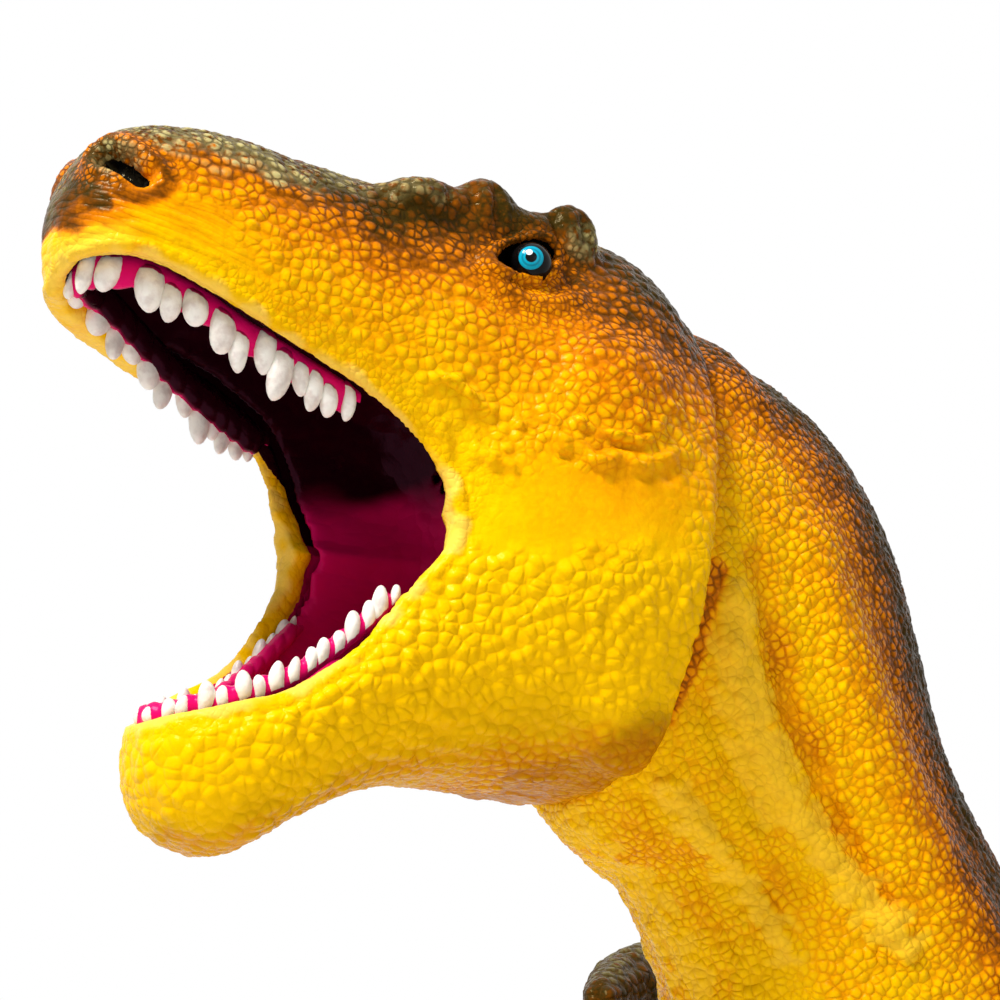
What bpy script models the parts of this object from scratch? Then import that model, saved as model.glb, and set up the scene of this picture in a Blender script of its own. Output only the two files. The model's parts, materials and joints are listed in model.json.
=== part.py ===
"""Toy dinosaur figure: a two-legged meat-eater with a gaping mouth, moulded in hollow vinyl.

The figure faces -Y, its left side is +X and it stands on z = 0. Places are written as
(forward, left, up) from the centre of the neck joint, which lies neck_joint_height above
the ground. Head, limbs and tail turn on flanged plugs that snap into holes in the body.
"""

import math

import bmesh
import bpy
import numpy as np
from mathutils import Matrix, Vector

# General sizes in metres
NECK_JOINT_HEIGHT = 0.200
WALL = 0.0025
GAP = 0.0003
RUNNING_GAP = 0.00025
OVERRUN = 0.004
CUT_BLOCK = 0.300

# Head
HEAD_LENGTH = 0.090
CROWN_HEIGHT = 0.0495
JAW_DEPTH = 0.0436
HEAD_HALF_WIDTH = 0.028
NECK_FACE_FORWARD = 0.0042
NECK_FACE_TILT = math.radians(12.0)
HEAD_BACK_WALL = 0.006
HEAD_VOXEL = 0.0011
HEAD_TRIANGLES = 2900

# Mouth
LINER_THICKNESS = 0.0012
GUM_RADIUS = 0.0018
UPPER_GUM_HANG = 0.0006
LOWER_GUM_RISE = -0.0008
TOOTH_RADIUS = 0.00150
UPPER_TOOTH_LENGTH = 0.0062
LOWER_TOOTH_LENGTH = 0.0028
TOOTH_MARGIN_SHARE = 1.4
UPPER_TOOTH_COUNT = 28
LOWER_TOOTH_COUNT = 24
TONGUE_HALF_WIDTH = 0.0085
TONGUE_HALF_HEIGHT = 0.0032
TONGUE_CLEARANCE = 0.0012

# Eyes
EYE_RADIUS = 0.0042
EYE_FORWARD = 0.0266
EYE_LEFT = 0.0170
EYE_UP = 0.0345

# Neck and body
BODY_REACH = 0.200
BODY_DROP = 0.140
BODY_HALF_WIDTH = 0.032
BODY_VOXEL = 0.0020
BODY_TRIANGLES = 1900
TAIL_FACE_BACK_SHARE = 0.95
TAIL_FACE_RISE = 0.0425

# Tail
TAIL_HALF_HEIGHT = 0.030
TAIL_HALF_WIDTH = 0.0248
TAIL_SWING = 0.146
TAIL_RISE = 0.0430
TAIL_FRONT_WALL = 0.008

# Legs
HIP_BACK_SHARE = 0.67
HIP_RISE = 0.0400
HIP_FACE_INSET = 0.0110
HIP_BOSS_RADIUS = 0.022
HIP_BOSS_LENGTH = 0.013
LEG_HALF_DEPTH = 0.030
LEG_HALF_WIDTH = 0.0145
LEG_CLEARANCE = 0.0120
LEG_REACH = 0.060
LEG_VOXEL = 0.0015
LEG_TRIANGLES = 860
TOE_RADIUS = 0.0076
TOE_LENGTH = 0.047
TOE_SPREAD = 0.018
TOE_LIFT_SHARE = 0.9
HEEL_LENGTH_SHARE = 0.55
HEEL_THICK_SHARE = 0.7
HEEL_SPREAD_SHARE = 0.3

# Arms
SHOULDER_BACK_SHARE = 0.31
SHOULDER_RISE = 0.0480
SHOULDER_FACE_INSET = 0.0075
SHOULDER_BOSS_RADIUS = 0.0085
SHOULDER_BOSS_LENGTH = 0.012
ARM_HALF_DEPTH = 0.0095
ARM_HALF_WIDTH = 0.0062
ARM_CLEARANCE = 0.0085
ARM_LENGTH = 0.040
ARM_VOXEL = 0.0010
ARM_TRIANGLES = 360
FINGER_RADIUS = 0.0025
FINGER_REACH_SHARE = 0.24
FINGER_DROP_SHARE = 0.16

# Plugs: the radius and depth of each shaft, and its flange
NECK_PLUG_RADIUS = 0.0140
TAIL_PLUG_RADIUS = 0.0110
HIP_PLUG_RADIUS = 0.0070
SHOULDER_PLUG_RADIUS = 0.0034
PLUG_WALL = 0.0022
FLANGE_LIP = 0.0028
FLANGE_THICKNESS = 0.0022
HIP_PLUG_DEPTH = 0.0080
SHOULDER_PLUG_DEPTH = 0.0065
POCKET_CLEARANCE = 0.0012

# Joint faces, from the body's reach, its lowest line and its flanks
TAIL_FACE_BACK = BODY_REACH * TAIL_FACE_BACK_SHARE
TAIL_FACE_DROP = BODY_DROP - TAIL_FACE_RISE
HIP_BACK = BODY_REACH * HIP_BACK_SHARE
HIP_DROP = BODY_DROP - HIP_RISE
HIP_FACE_LEFT = BODY_HALF_WIDTH - HIP_FACE_INSET
SHOULDER_BACK = BODY_REACH * SHOULDER_BACK_SHARE
SHOULDER_DROP = BODY_DROP - SHOULDER_RISE
SHOULDER_FACE_LEFT = BODY_HALF_WIDTH - SHOULDER_FACE_INSET
LEG_SPREAD = BODY_HALF_WIDTH + LEG_CLEARANCE
ARM_SPREAD = BODY_HALF_WIDTH + ARM_CLEARANCE

ROUND_SIDES = 20
RING_SIDES = 28
SMOOTH_FACTOR_SHARE = 0.5


# Places and outlines


def place(forward, left, up):
    """A point given from the neck joint, as a world vector."""
    return Vector((left, -forward, NECK_JOINT_HEIGHT + up))


def head_up(share):
    """A height in the head: shares of the crown above the joint, of the jaw below it."""
    return share * (CROWN_HEIGHT if share > 0 else JAW_DEPTH)


def smooth_rows(rows, steps):
    """Rows of a table with a Catmull-Rom curve drawn through each column."""
    table = np.array(rows, float)
    padded = np.vstack([2 * table[0] - table[1], table, 2 * table[-1] - table[-2]])
    found = []
    for i in range(len(table) - 1):
        a, b, c, d = padded[i : i + 4]
        for k in range(steps):
            t = k / steps
            found.append(
                b
                + 0.5 * t * (c - a)
                + t * t * (a - 2.5 * b + 2 * c - 0.5 * d)
                + t * t * t * (1.5 * (b - c) + 0.5 * (d - a))
            )
    found.append(table[-1])
    return found


def upright_ring(forward, top, bottom, half_width, taper, boxy, sides):
    """A closed section across the head, wider below where taper is positive."""
    ring = []
    for k in range(sides):
        turn = 2 * math.pi * k / sides
        rise = 0.5 * (1 - math.cos(turn))
        across = abs(math.sin(turn)) ** boxy * math.copysign(1, math.sin(turn))
        across *= half_width * (1 + taper * (1 - 2 * rise))
        ring.append(place(forward, across, bottom + rise * (top - bottom)))
    return ring


def oval_ring(centre, side, rise, half_width, half_height, sides):
    """A closed oval section about a centre, in the plane of two unit vectors."""
    ring = []
    for k in range(sides):
        turn = 2 * math.pi * k / sides
        across = side * (half_width * math.sin(turn))
        ring.append(centre + across - rise * (half_height * math.cos(turn)))
    return ring


def tube_rings(rows, sides, steps):
    """Oval sections along a path. A row holds forward, left, up, half height, half width."""
    table = smooth_rows(rows, steps)
    centres = [place(*row[:3]) for row in table]
    rings = []
    for i, row in enumerate(table):
        along = (centres[min(i + 1, len(table) - 1)] - centres[max(i - 1, 0)]).normalized()
        side = along.cross(Vector((0, 0, 1)))
        if side.length < 0.2:
            side = along.cross(Vector((0, 1, 0)))
        side.normalize()
        rings.append(oval_ring(centres[i], side, side.cross(along), row[4], row[3], sides))
    return rings


# Meshes and modifiers


def add_object(name, mesh):
    obj = bpy.data.objects.new(name, mesh)
    bpy.context.scene.collection.objects.link(obj)
    return obj


def mesh_of_rings(name, ring_lists):
    """One mesh of closed tubes, each a list of rings with its ends capped."""
    made = bmesh.new()
    for rings in ring_lists:
        loops = [[made.verts.new(point) for point in ring] for ring in rings]
        count = len(loops[0])
        for near, far in zip(loops, loops[1:]):
            for k in range(count):
                after = (k + 1) % count
                made.faces.new((near[k], near[after], far[after], far[k]))
        made.faces.new(loops[0][::-1])
        made.faces.new(loops[-1])
    bmesh.ops.recalc_face_normals(made, faces=made.faces)
    mesh = bpy.data.meshes.new(name)
    made.to_mesh(mesh)
    made.free()
    return mesh


def ball_mesh(name, balls, rings=12, sides=16):
    """One mesh of ellipsoids. A row holds a centre and its half sizes across, along and up."""
    made = bmesh.new()
    for centre, sizes in balls:
        stretch = Matrix.Translation(centre) @ Matrix.Diagonal((*sizes, 1))
        bmesh.ops.create_uvsphere(made, u_segments=sides, v_segments=rings, radius=1, matrix=stretch)
    mesh = bpy.data.meshes.new(name)
    made.to_mesh(mesh)
    made.free()
    return mesh


def joined(name, meshes):
    made = bmesh.new()
    for mesh in meshes:
        made.from_mesh(mesh)
    mesh = bpy.data.meshes.new(name)
    made.to_mesh(mesh)
    made.free()
    return mesh


def settle(obj):
    """Bakes an object's modifiers into its mesh."""
    graph = bpy.context.evaluated_depsgraph_get()
    mesh = bpy.data.meshes.new_from_object(obj.evaluated_get(graph))
    obj.modifiers.clear()
    obj.data = mesh


def blend(name, meshes, voxel, smoothing, triangles):
    """Overlapping closed meshes melted into one skin, smoothed and thinned out."""
    obj = add_object(name, joined(name, meshes))
    remesh = obj.modifiers.new("melt", "REMESH")
    remesh.mode = "VOXEL"
    remesh.voxel_size = voxel
    smooth = obj.modifiers.new("ease", "SMOOTH")
    smooth.factor = SMOOTH_FACTOR_SHARE
    smooth.iterations = smoothing
    settle(obj)
    obj.data.calc_loop_triangles()
    thin = obj.modifiers.new("thin", "DECIMATE")
    thin.ratio = min(1, triangles / len(obj.data.loop_triangles))
    settle(obj)
    return obj


def as_cutter(obj):
    obj.hide_render = True
    obj.display_type = "WIRE"
    return obj


def combine(obj, other, operation="DIFFERENCE"):
    """A Boolean with another object, which turns into a hidden cutter."""
    step = obj.modifiers.new(operation.lower(), "BOOLEAN")
    step.operation = operation
    step.solver = "EXACT"
    step.use_self = operation == "UNION"
    step.object = as_cutter(other)
    return obj


def finish(obj, material):
    """Bakes the cuts, shades the piece and gives it its material."""
    settle(obj)
    for polygon in obj.data.polygons:
        polygon.use_smooth = True
    obj.data.set_sharp_from_angle(angle=math.radians(40))
    obj.data.materials.clear()
    obj.data.materials.append(material)
    return obj


def rod(name, start, axis, length, radius, sides=ROUND_SIDES):
    """A closed cylinder from a point along an axis."""
    made = bmesh.new()
    turn = axis.to_track_quat("Z", "Y").to_matrix().to_4x4()
    move = Matrix.Translation(start + axis * (length / 2)) @ turn
    bmesh.ops.create_cone(
        made, cap_ends=True, segments=sides, radius1=radius, radius2=radius, depth=length, matrix=move
    )
    mesh = bpy.data.meshes.new(name)
    made.to_mesh(mesh)
    made.free()
    return add_object(name, mesh)


def half_space(name, point, axis):
    """A block that fills everything beyond a plane, in the direction of its axis."""
    made = bmesh.new()
    turn = axis.to_track_quat("Z", "Y").to_matrix().to_4x4()
    move = Matrix.Translation(point + axis * (CUT_BLOCK / 2)) @ turn
    bmesh.ops.create_cube(made, size=CUT_BLOCK, matrix=move)
    mesh = bpy.data.meshes.new(name)
    made.to_mesh(mesh)
    made.free()
    return add_object(name, mesh)


def turned(name, origin, axis, profile, sides=ROUND_SIDES):
    """A ring turned about an axis from a closed profile of (radius, distance along the axis)."""
    frame = axis.to_track_quat("Z", "Y").to_matrix()
    loops = []
    made = bmesh.new()
    for k in range(sides):
        turn = 2 * math.pi * k / sides
        out = frame @ Vector((math.cos(turn), math.sin(turn), 0))
        loops.append([made.verts.new(origin + out * radius + axis * along) for radius, along in profile])
    for k in range(sides):
        near = loops[k]
        far = loops[(k + 1) % sides]
        for j in range(len(profile)):
            after = (j + 1) % len(profile)
            made.faces.new((near[j], near[after], far[after], far[j]))
    bmesh.ops.recalc_face_normals(made, faces=made.faces)
    mesh = bpy.data.meshes.new(name)
    made.to_mesh(mesh)
    made.free()
    return add_object(name, mesh)


def plastic(name, colour, roughness):
    made = bpy.data.materials.new(name)
    made.use_nodes = True
    shader = made.node_tree.nodes["Principled BSDF"]
    shader.inputs["Base Color"].default_value = (*colour, 1)
    shader.inputs["Roughness"].default_value = roughness
    shader.inputs["Metallic"].default_value = 0
    made.diffuse_color = (*colour, 1)
    return made


# Joint faces and their axes

NECK_AXIS = Vector((0, -math.cos(NECK_FACE_TILT), math.sin(NECK_FACE_TILT)))
TAIL_AXIS = Vector((0, 1, 0))
LEFT_AXIS = Vector((1, 0, 0))


def neck_face():
    return place(NECK_FACE_FORWARD, 0, 0)


def tail_face():
    return place(-TAIL_FACE_BACK, 0, -TAIL_FACE_DROP)


def hip_face(side):
    return place(-HIP_BACK, side * HIP_FACE_LEFT, -HIP_DROP)


def shoulder_face(side):
    return place(-SHOULDER_BACK, side * SHOULDER_FACE_LEFT, -SHOULDER_DROP)


# Head

# Each row: forward, top, bottom and half width as shares of the head's sizes, then how much
# wider it is below, and how round it is: 1 for an oval and less for a boxy section
CRANIUM_SHARES = (
    (-0.16, 0.60, -0.74, 0.80, 0.12, 0.84),
    (-0.04, 0.745, -0.79, 0.92, 0.16, 0.80),
    (0.06, 0.86, -0.79, 0.97, 0.18, 0.73),
    (0.17, 0.915, -0.77, 0.97, 0.19, 0.68),
    (0.30, 0.92, -0.73, 0.87, 0.18, 0.65),
    (0.42, 0.92, -0.68, 0.68, 0.20, 0.62),
    (0.52, 0.92, -0.64, 0.56, 0.18, 0.62),
)
UPPER_JAW_SHARES = (
    (0.22, 0.88, -0.15, 0.80, 0.10, 0.66),
    (0.36, 0.93, -0.10, 0.73, 0.10, 0.62),
    (0.50, 0.96, 0.02, 0.65, 0.10, 0.62),
    (0.61, 0.985, 0.12, 0.60, 0.08, 0.62),
    (0.72, 1.0, 0.20, 0.565, 0.08, 0.62),
    (0.83, 1.0, 0.28, 0.50, 0.06, 0.62),
    (0.905, 0.965, 0.40, 0.42, 0.04, 0.64),
    (0.955, 0.87, 0.52, 0.29, 0.0, 0.68),
    (0.982, 0.77, 0.62, 0.12, 0.0, 0.72),
)
LOWER_JAW_SHARES = (
    (0.22, 0.20, -0.755, 0.86, 0.0, 0.66),
    (0.39, 0.04, -0.74, 0.71, 0.0, 0.62),
    (0.50, -0.05, -0.78, 0.63, 0.0, 0.62),
    (0.61, -0.20, -0.88, 0.56, 0.0, 0.62),
    (0.69, -0.32, -0.98, 0.50, 0.0, 0.62),
    (0.755, -0.41, -1.0, 0.42, 0.0, 0.62),
    (0.805, -0.50, -0.94, 0.30, 0.0, 0.64),
    (0.832, -0.62, -0.82, 0.13, 0.0, 0.70),
)
# Each row: forward, left and up of a bump, then its half sizes across, along and up
HEAD_BUMP_SHARES = (
    (0.352, 0.45, 0.885, 0.11, 0.070, 0.105),
    (0.212, 0.52, 0.850, 0.095, 0.055, 0.105),
    (0.45, 0.40, 0.895, 0.15, 0.085, 0.060),
    (0.275, 0.48, 0.850, 0.12, 0.060, 0.060),
    (0.15, 0.64, -0.26, 0.30, 0.16, 0.42),
    (0.17, 0.66, 0.34, 0.28, 0.14, 0.24),
)
# Lip line in side view, from the snout's tip round the mouth corner to the chin
LIP_SHARES = (
    (1.10, 0.56),
    (0.985, 0.575),
    (0.94, 0.595),
    (0.90, 0.59),
    (0.85, 0.565),
    (0.78, 0.51),
    (0.70, 0.43),
    (0.63, 0.365),
    (0.57, 0.31),
    (0.524, 0.25),
    (0.484, 0.17),
    (0.458, 0.08),
    (0.447, -0.02),
    (0.457, -0.12),
    (0.489, -0.20),
    (0.535, -0.27),
    (0.605, -0.37),
    (0.66, -0.45),
    (0.73, -0.535),
    (0.79, -0.60),
    (0.85, -0.65),
    (0.90, -0.68),
    (1.02, -0.74),
)
CORNER_ROW = 12

# Each row: forward, reach up or down from the joint, half width
PALATE_SHARES = (
    (0.24, 0.14, 0.26),
    (0.285, 0.36, 0.48),
    (0.35, 0.50, 0.60),
    (0.44, 0.58, 0.615),
    (0.56, 0.65, 0.555),
    (0.68, 0.70, 0.505),
    (0.79, 0.735, 0.44),
    (0.88, 0.75, 0.35),
    (0.925, 0.745, 0.25),
    (0.948, 0.70, 0.12),
)
FLOOR_SHARES = (
    (0.24, -0.20, 0.26),
    (0.285, -0.42, 0.48),
    (0.35, -0.52, 0.60),
    (0.44, -0.56, 0.59),
    (0.56, -0.61, 0.51),
    (0.65, -0.70, 0.43),
    (0.72, -0.80, 0.37),
    (0.775, -0.84, 0.27),
    (0.803, -0.83, 0.13),
)


def head_section(row, sides, inset=0.0):
    forward, top, bottom, half_width, taper, boxy = row
    return upright_ring(
        forward * HEAD_LENGTH,
        head_up(top) - inset,
        head_up(bottom) + inset,
        half_width * HEAD_HALF_WIDTH - inset,
        taper,
        boxy,
        sides,
    )


def head_loft(shares):
    return [head_section(row, RING_SIDES) for row in smooth_rows(shares, 3)]


def mouth_loft(shares, inset, sides=14):
    """The palate's or the floor's hollow, shrunk by an inset."""
    rings = []
    rows = smooth_rows(shares, 2)
    for i, (forward, reach, half_width) in enumerate(rows):
        height = head_up(reach)
        top = max(height, 0) + (OVERRUN if height < 0 else -inset)
        bottom = min(height, 0) + (inset if height < 0 else -OVERRUN)
        shift = inset if i == 0 else -inset if i == len(rows) - 1 else 0
        across = max(half_width * HEAD_HALF_WIDTH - inset, OVERRUN / 4)
        rings.append(upright_ring(forward * HEAD_LENGTH + shift, top, bottom, across, 0, 0.5, sides))
    return rings


def mouth_hollow(name, inset):
    """Palate and floor hollows as one cutter."""
    palate = add_object(name, mesh_of_rings(name, [mouth_loft(PALATE_SHARES, inset)]))
    floor = add_object(name + "_floor", mesh_of_rings(name + "_floor", [mouth_loft(FLOOR_SHARES, inset)]))
    combine(palate, floor, "UNION")
    settle(palate)
    return palate


def lip_points(inset):
    """The gape in side view, with its edge moved into the jaws by an inset."""
    points = [(f * HEAD_LENGTH, head_up(u)) for f, u in LIP_SHARES]
    moved = []
    for i, (forward, up) in enumerate(points):
        before = points[max(i - 1, 0)]
        after = points[min(i + 1, len(points) - 1)]
        along = Vector((after[0] - before[0], after[1] - before[1])).normalized()
        moved.append((forward + along.y * inset, up - along.x * inset))
    return moved


def gape_prism(name, inset):
    """The open space between the jaws, cut through from side to side."""
    rings = []
    for left in (-2 * HEAD_HALF_WIDTH, 2 * HEAD_HALF_WIDTH):
        rings.append([place(f, left, u) for f, u in lip_points(inset)])
    return add_object(name, mesh_of_rings(name, [rings]))


def eye_centre(side):
    return place(EYE_FORWARD, side * EYE_LEFT, EYE_UP)


def head_void(name):
    """The hollow over the palate and behind the throat, from the back wall to the snout."""
    shares = (
        (0.10, 0.70, 0.26, 0.54, 0.0, 0.8),
        (0.20, 0.80, 0.45, 0.50, 0.0, 0.8),
        (0.34, 0.81, 0.64, 0.40, 0.0, 0.62),
        (0.50, 0.86, 0.72, 0.34, 0.0, 0.62),
        (0.70, 0.89, 0.80, 0.28, 0.0, 0.62),
        (0.84, 0.90, 0.82, 0.20, 0.0, 0.62),
    )
    upper = [head_section(row, 12) for row in shares]
    throat_shares = (
        (0.03, 0.50, -0.60, 0.74, 0.0, 0.72),
        (0.11, 0.58, -0.60, 0.72, 0.0, 0.72),
        (0.195, 0.55, -0.54, 0.48, 0.0, 0.62),
    )
    throat = [head_section(row, 16) for row in throat_shares]
    void = add_object(name, mesh_of_rings(name, [upper]))
    combine(void, add_object(name + "_throat", mesh_of_rings(name + "_throat", [throat])), "UNION")
    wall = neck_face() + NECK_AXIS * (GAP + HEAD_BACK_WALL)
    combine(void, half_space(name + "_wall", wall, -NECK_AXIS))
    settle(void)
    return void


def make_head(material):
    lofts = [CRANIUM_SHARES, UPPER_JAW_SHARES, LOWER_JAW_SHARES]
    meshes = [mesh_of_rings("head_form", [head_loft(shares)]) for shares in lofts]
    bumps = []
    for forward, left, up, along, across, high in HEAD_BUMP_SHARES:
        sizes = (across * HEAD_HALF_WIDTH * 2, along * HEAD_LENGTH / 2, high * CROWN_HEIGHT)
        for side in (-1, 1):
            centre = place(forward * HEAD_LENGTH, side * left * HEAD_HALF_WIDTH, head_up(up))
            bumps.append((centre, sizes))
    meshes.append(ball_mesh("head_bumps", bumps))
    head = blend("head_shell", meshes, HEAD_VOXEL, 6, HEAD_TRIANGLES)
    combine(head, half_space("head_back_cut", neck_face() + NECK_AXIS * (GAP / 2), -NECK_AXIS))
    combine(head, gape_prism("gape_cut", 0))
    combine(head, mouth_hollow("mouth_cut", 0))
    for side in (-1, 1):
        socket = ball_mesh("socket", [(eye_centre(side), [EYE_RADIUS + GAP] * 3)])
        combine(head, add_object("eye_socket_cut", socket))
    combine(head, head_void("head_void"))
    bore_start = neck_face() - NECK_AXIS * OVERRUN
    bore_length = HEAD_BACK_WALL + 2 * OVERRUN
    combine(head, rod("neck_bore_cut", bore_start, NECK_AXIS, bore_length, NECK_PLUG_RADIUS + GAP))
    return finish(head, material)


def gum_path(shares, lip_rows, hang, steps):
    """Points of a gum's centre line round the jaw from the right corner to the left one."""
    lip = sorted((f * HEAD_LENGTH, head_up(u)) for f, u in lip_rows)
    hollow = [(f * HEAD_LENGTH, w * HEAD_HALF_WIDTH) for f, _, w in shares]
    first = lip[1][0]
    last = hollow[-1][0] - GAP - GUM_RADIUS
    points = []
    for k in range(steps + 1):
        swing = math.pi * (k / steps - 0.5)
        forward = first + (last - first) * math.cos(swing) ** 0.85
        across = np.interp(forward, [h[0] for h in hollow], [h[1] for h in hollow])
        across = max(across - GAP - GUM_RADIUS, 0) * abs(math.sin(swing)) ** 0.35
        up = np.interp(forward, [p[0] for p in lip], [p[1] for p in lip]) + hang
        points.append(place(forward, math.copysign(across, swing), up))
    return points


def even_points(points, count, margin):
    """Points at even steps along a path, with the path's direction at each."""
    steps = [0.0]
    for a, b in zip(points, points[1:]):
        steps.append(steps[-1] + (b - a).length)
    found = []
    for k in range(count):
        at = margin + (steps[-1] - 2 * margin) * k / (count - 1)
        place_now = Vector([np.interp(at, steps, [p[j] for p in points]) for j in range(3)])
        ahead = Vector([np.interp(at + margin / 2, steps, [p[j] for p in points]) for j in range(3)])
        behind = Vector([np.interp(at - margin / 2, steps, [p[j] for p in points]) for j in range(3)])
        found.append((place_now, (ahead - behind).normalized()))
    return found


def gum_rings(points, radius, count, sides=6):
    rings = []
    for centre, along in even_points(points, count, GUM_RADIUS):
        side = along.cross(Vector((0, 0, 1))).normalized()
        rings.append(oval_ring(centre, side, side.cross(along), radius, radius, sides))
    return rings


# Each row: distance from the gum's centre to the tip and half width, as shares of the tooth
TOOTH_SHARES = ((0.0, 0.80), (0.62, 1.0), (1.0, 0.50))


def tooth_rings(root, down, along, length, radius, sides=5):
    out = along.cross(down).normalized()
    rings = []
    for reach, width in TOOTH_SHARES:
        centre = root + down * (reach * length)
        rings.append(oval_ring(centre, along, out, radius * width, radius * width, sides))
    return rings


def tooth_length_share(k, count):
    """Longest teeth sit in the front half of each side, and the last ones are short."""
    from_front = abs(2 * k / (count - 1) - 1)
    return 0.74 + 0.30 * math.sin(math.pi * min(from_front * 1.25, 1)) - 0.12 * from_front


def tooth_row(name, path, direction, count, length, material):
    """A gum strip with its teeth, moulded in one."""
    gum = add_object(name, mesh_of_rings(name, [gum_rings(path, GUM_RADIUS, count)]))
    teeth = []
    for k, (root, along) in enumerate(even_points(path, count, TOOTH_MARGIN_SHARE * TOOTH_RADIUS)):
        reach = GUM_RADIUS / 2 + length * tooth_length_share(k, count)
        teeth.append(tooth_rings(root, direction, along, reach, TOOTH_RADIUS))
    combine(gum, add_object(name + "_teeth", mesh_of_rings(name + "_teeth", teeth)), "UNION")
    return finish(gum, material)


def upper_gum_path(steps=40):
    return gum_path(PALATE_SHARES, LIP_SHARES[1 : CORNER_ROW - 3], -UPPER_GUM_HANG, steps)


def lower_gum_path(steps=40):
    return gum_path(FLOOR_SHARES, LIP_SHARES[CORNER_ROW + 2 : -1], LOWER_GUM_RISE, steps)


def make_mouth(liner_material, tooth_material):
    down = Vector((0, 0.25, -1)).normalized()
    rise = Vector((0, -0.15, 1)).normalized()
    upper = tooth_row(
        "upper_tooth_row", upper_gum_path(), down, UPPER_TOOTH_COUNT, UPPER_TOOTH_LENGTH, tooth_material
    )
    lower = tooth_row(
        "lower_tooth_row", lower_gum_path(), rise, LOWER_TOOTH_COUNT, LOWER_TOOTH_LENGTH, tooth_material
    )
    liner = mouth_hollow("mouth_liner", GAP)
    combine(liner, mouth_hollow("liner_bore", GAP + LINER_THICKNESS))
    combine(liner, gape_prism("liner_gape", GUM_RADIUS + max(-UPPER_GUM_HANG, -LOWER_GUM_RISE) + GAP))
    return [upper, lower, finish(liner, liner_material)]


# Each row: forward, up, half width and half height shares of the tongue's own sizes
TONGUE_SHARES = (
    (0.32, 0.55, 0.75),
    (0.39, 0.90, 1.0),
    (0.48, 1.0, 1.0),
    (0.60, 0.80, 0.90),
    (0.66, 0.55, 0.72),
    (0.69, 0.28, 0.35),
)


def make_tongue(material):
    """Lies along the mouth's floor, a little above the liner."""
    floor = [(f * HEAD_LENGTH, head_up(u)) for f, u, _ in FLOOR_SHARES]
    rows = []
    for forward_share, width, height in TONGUE_SHARES:
        forward = forward_share * HEAD_LENGTH
        bed = np.interp(forward, [p[0] for p in floor], [p[1] for p in floor])
        bed += GAP + LINER_THICKNESS + TONGUE_CLEARANCE
        half_height = TONGUE_HALF_HEIGHT * height
        rows.append((forward, 0, bed + half_height, half_height, TONGUE_HALF_WIDTH * width))
    tongue = add_object("tongue", mesh_of_rings("tongue", [tube_rings(rows, 14, 2)]))
    return finish(tongue, material)


def make_eye(name, side, material):
    eye = add_object(name, ball_mesh(name, [(eye_centre(side), [EYE_RADIUS] * 3)], 10, 14))
    return finish(eye, material)


# Neck and body in one moulding

# Each row: back line forward and up, belly line forward and up, half width
BODY_SHARES = (
    (0.06, 0.235, 0.14, -0.18, 0.68),
    (-0.02, 0.248, 0.065, -0.232, 0.73),
    (-0.083, 0.230, 0.05, -0.264, 0.76),
    (-0.151, 0.180, 0.03, -0.290, 0.76),
    (-0.202, 0.092, 0.006, -0.325, 0.75),
    (-0.230, -0.02, -0.010, -0.36, 0.73),
    (-0.252, -0.143, -0.026, -0.40, 0.73),
    (-0.295, -0.257, -0.040, -0.445, 0.77),
    (-0.35, -0.365, -0.042, -0.52, 0.84),
    (-0.43, -0.445, -0.06, -0.657, 0.93),
    (-0.53, -0.493, -0.15, -0.836, 1.0),
    (-0.625, -0.507, -0.325, -0.957, 0.96),
    (-0.725, -0.507, -0.54, -1.007, 0.89),
    (-0.84, -0.493, -0.75, -0.979, 0.83),
    (-0.96, -0.479, -0.95, -0.914, 0.78),
    (-1.06, -0.471, -1.06, -0.871, 0.68),
)
# Muscle ridge down each side of the neck: forward, left, up, half height, half width
NECK_RIDGE_SHARES = (
    (-0.07, 0.60, 0.02, 0.09, 0.20),
    (-0.10, 0.66, -0.12, 0.10, 0.20),
    (-0.15, 0.66, -0.26, 0.10, 0.20),
    (-0.22, 0.66, -0.40, 0.10, 0.22),
    (-0.32, 0.72, -0.52, 0.10, 0.22),
)


def body_rings(steps, sides, inset):
    side = Vector((1, 0, 0))
    rings = []
    for back, back_up, front, front_up, half_width in smooth_rows(BODY_SHARES, steps):
        high = place(back * BODY_REACH, 0, back_up * BODY_DROP)
        low = place(front * BODY_REACH, 0, front_up * BODY_DROP)
        rise = (high - low).normalized()
        half_height = (high - low).length / 2 - inset
        across = half_width * BODY_HALF_WIDTH - inset
        rings.append(oval_ring((high + low) / 2, side, rise, across, half_height, sides))
    return rings


def neck_ridges():
    ridges = []
    for side in (-1, 1):
        rows = []
        for forward, left, up, high, wide in NECK_RIDGE_SHARES:
            rows.append(
                (
                    forward * BODY_REACH,
                    side * left * BODY_HALF_WIDTH,
                    up * BODY_DROP,
                    high * BODY_DROP / 2,
                    wide * BODY_HALF_WIDTH,
                )
            )
        ridges.append(tube_rings(rows, 12, 2))
    return ridges


def limb_pocket(name, face, side, radius, extra):
    """The round seat of a limb in the body's flank, or with extra, the solid kept round it."""
    axis = LEFT_AXIS * side
    start = face - axis * extra
    return rod(name, start, axis, 2 * BODY_HALF_WIDTH, radius + POCKET_CLEARANCE + extra)


def body_void():
    void = add_object("body_void", mesh_of_rings("body_void", [body_rings(1, 14, WALL)]))
    combine(void, half_space("void_front", neck_face() - NECK_AXIS * (GAP / 2 + WALL), NECK_AXIS))
    combine(void, half_space("void_back", tail_face() - TAIL_AXIS * (GAP / 2 + WALL), TAIL_AXIS))
    for side in (-1, 1):
        combine(void, limb_pocket("hip_keep", hip_face(side), side, HIP_BOSS_RADIUS, WALL))
        combine(void, limb_pocket("shoulder_keep", shoulder_face(side), side, SHOULDER_BOSS_RADIUS, WALL))
    settle(void)
    return void


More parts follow.
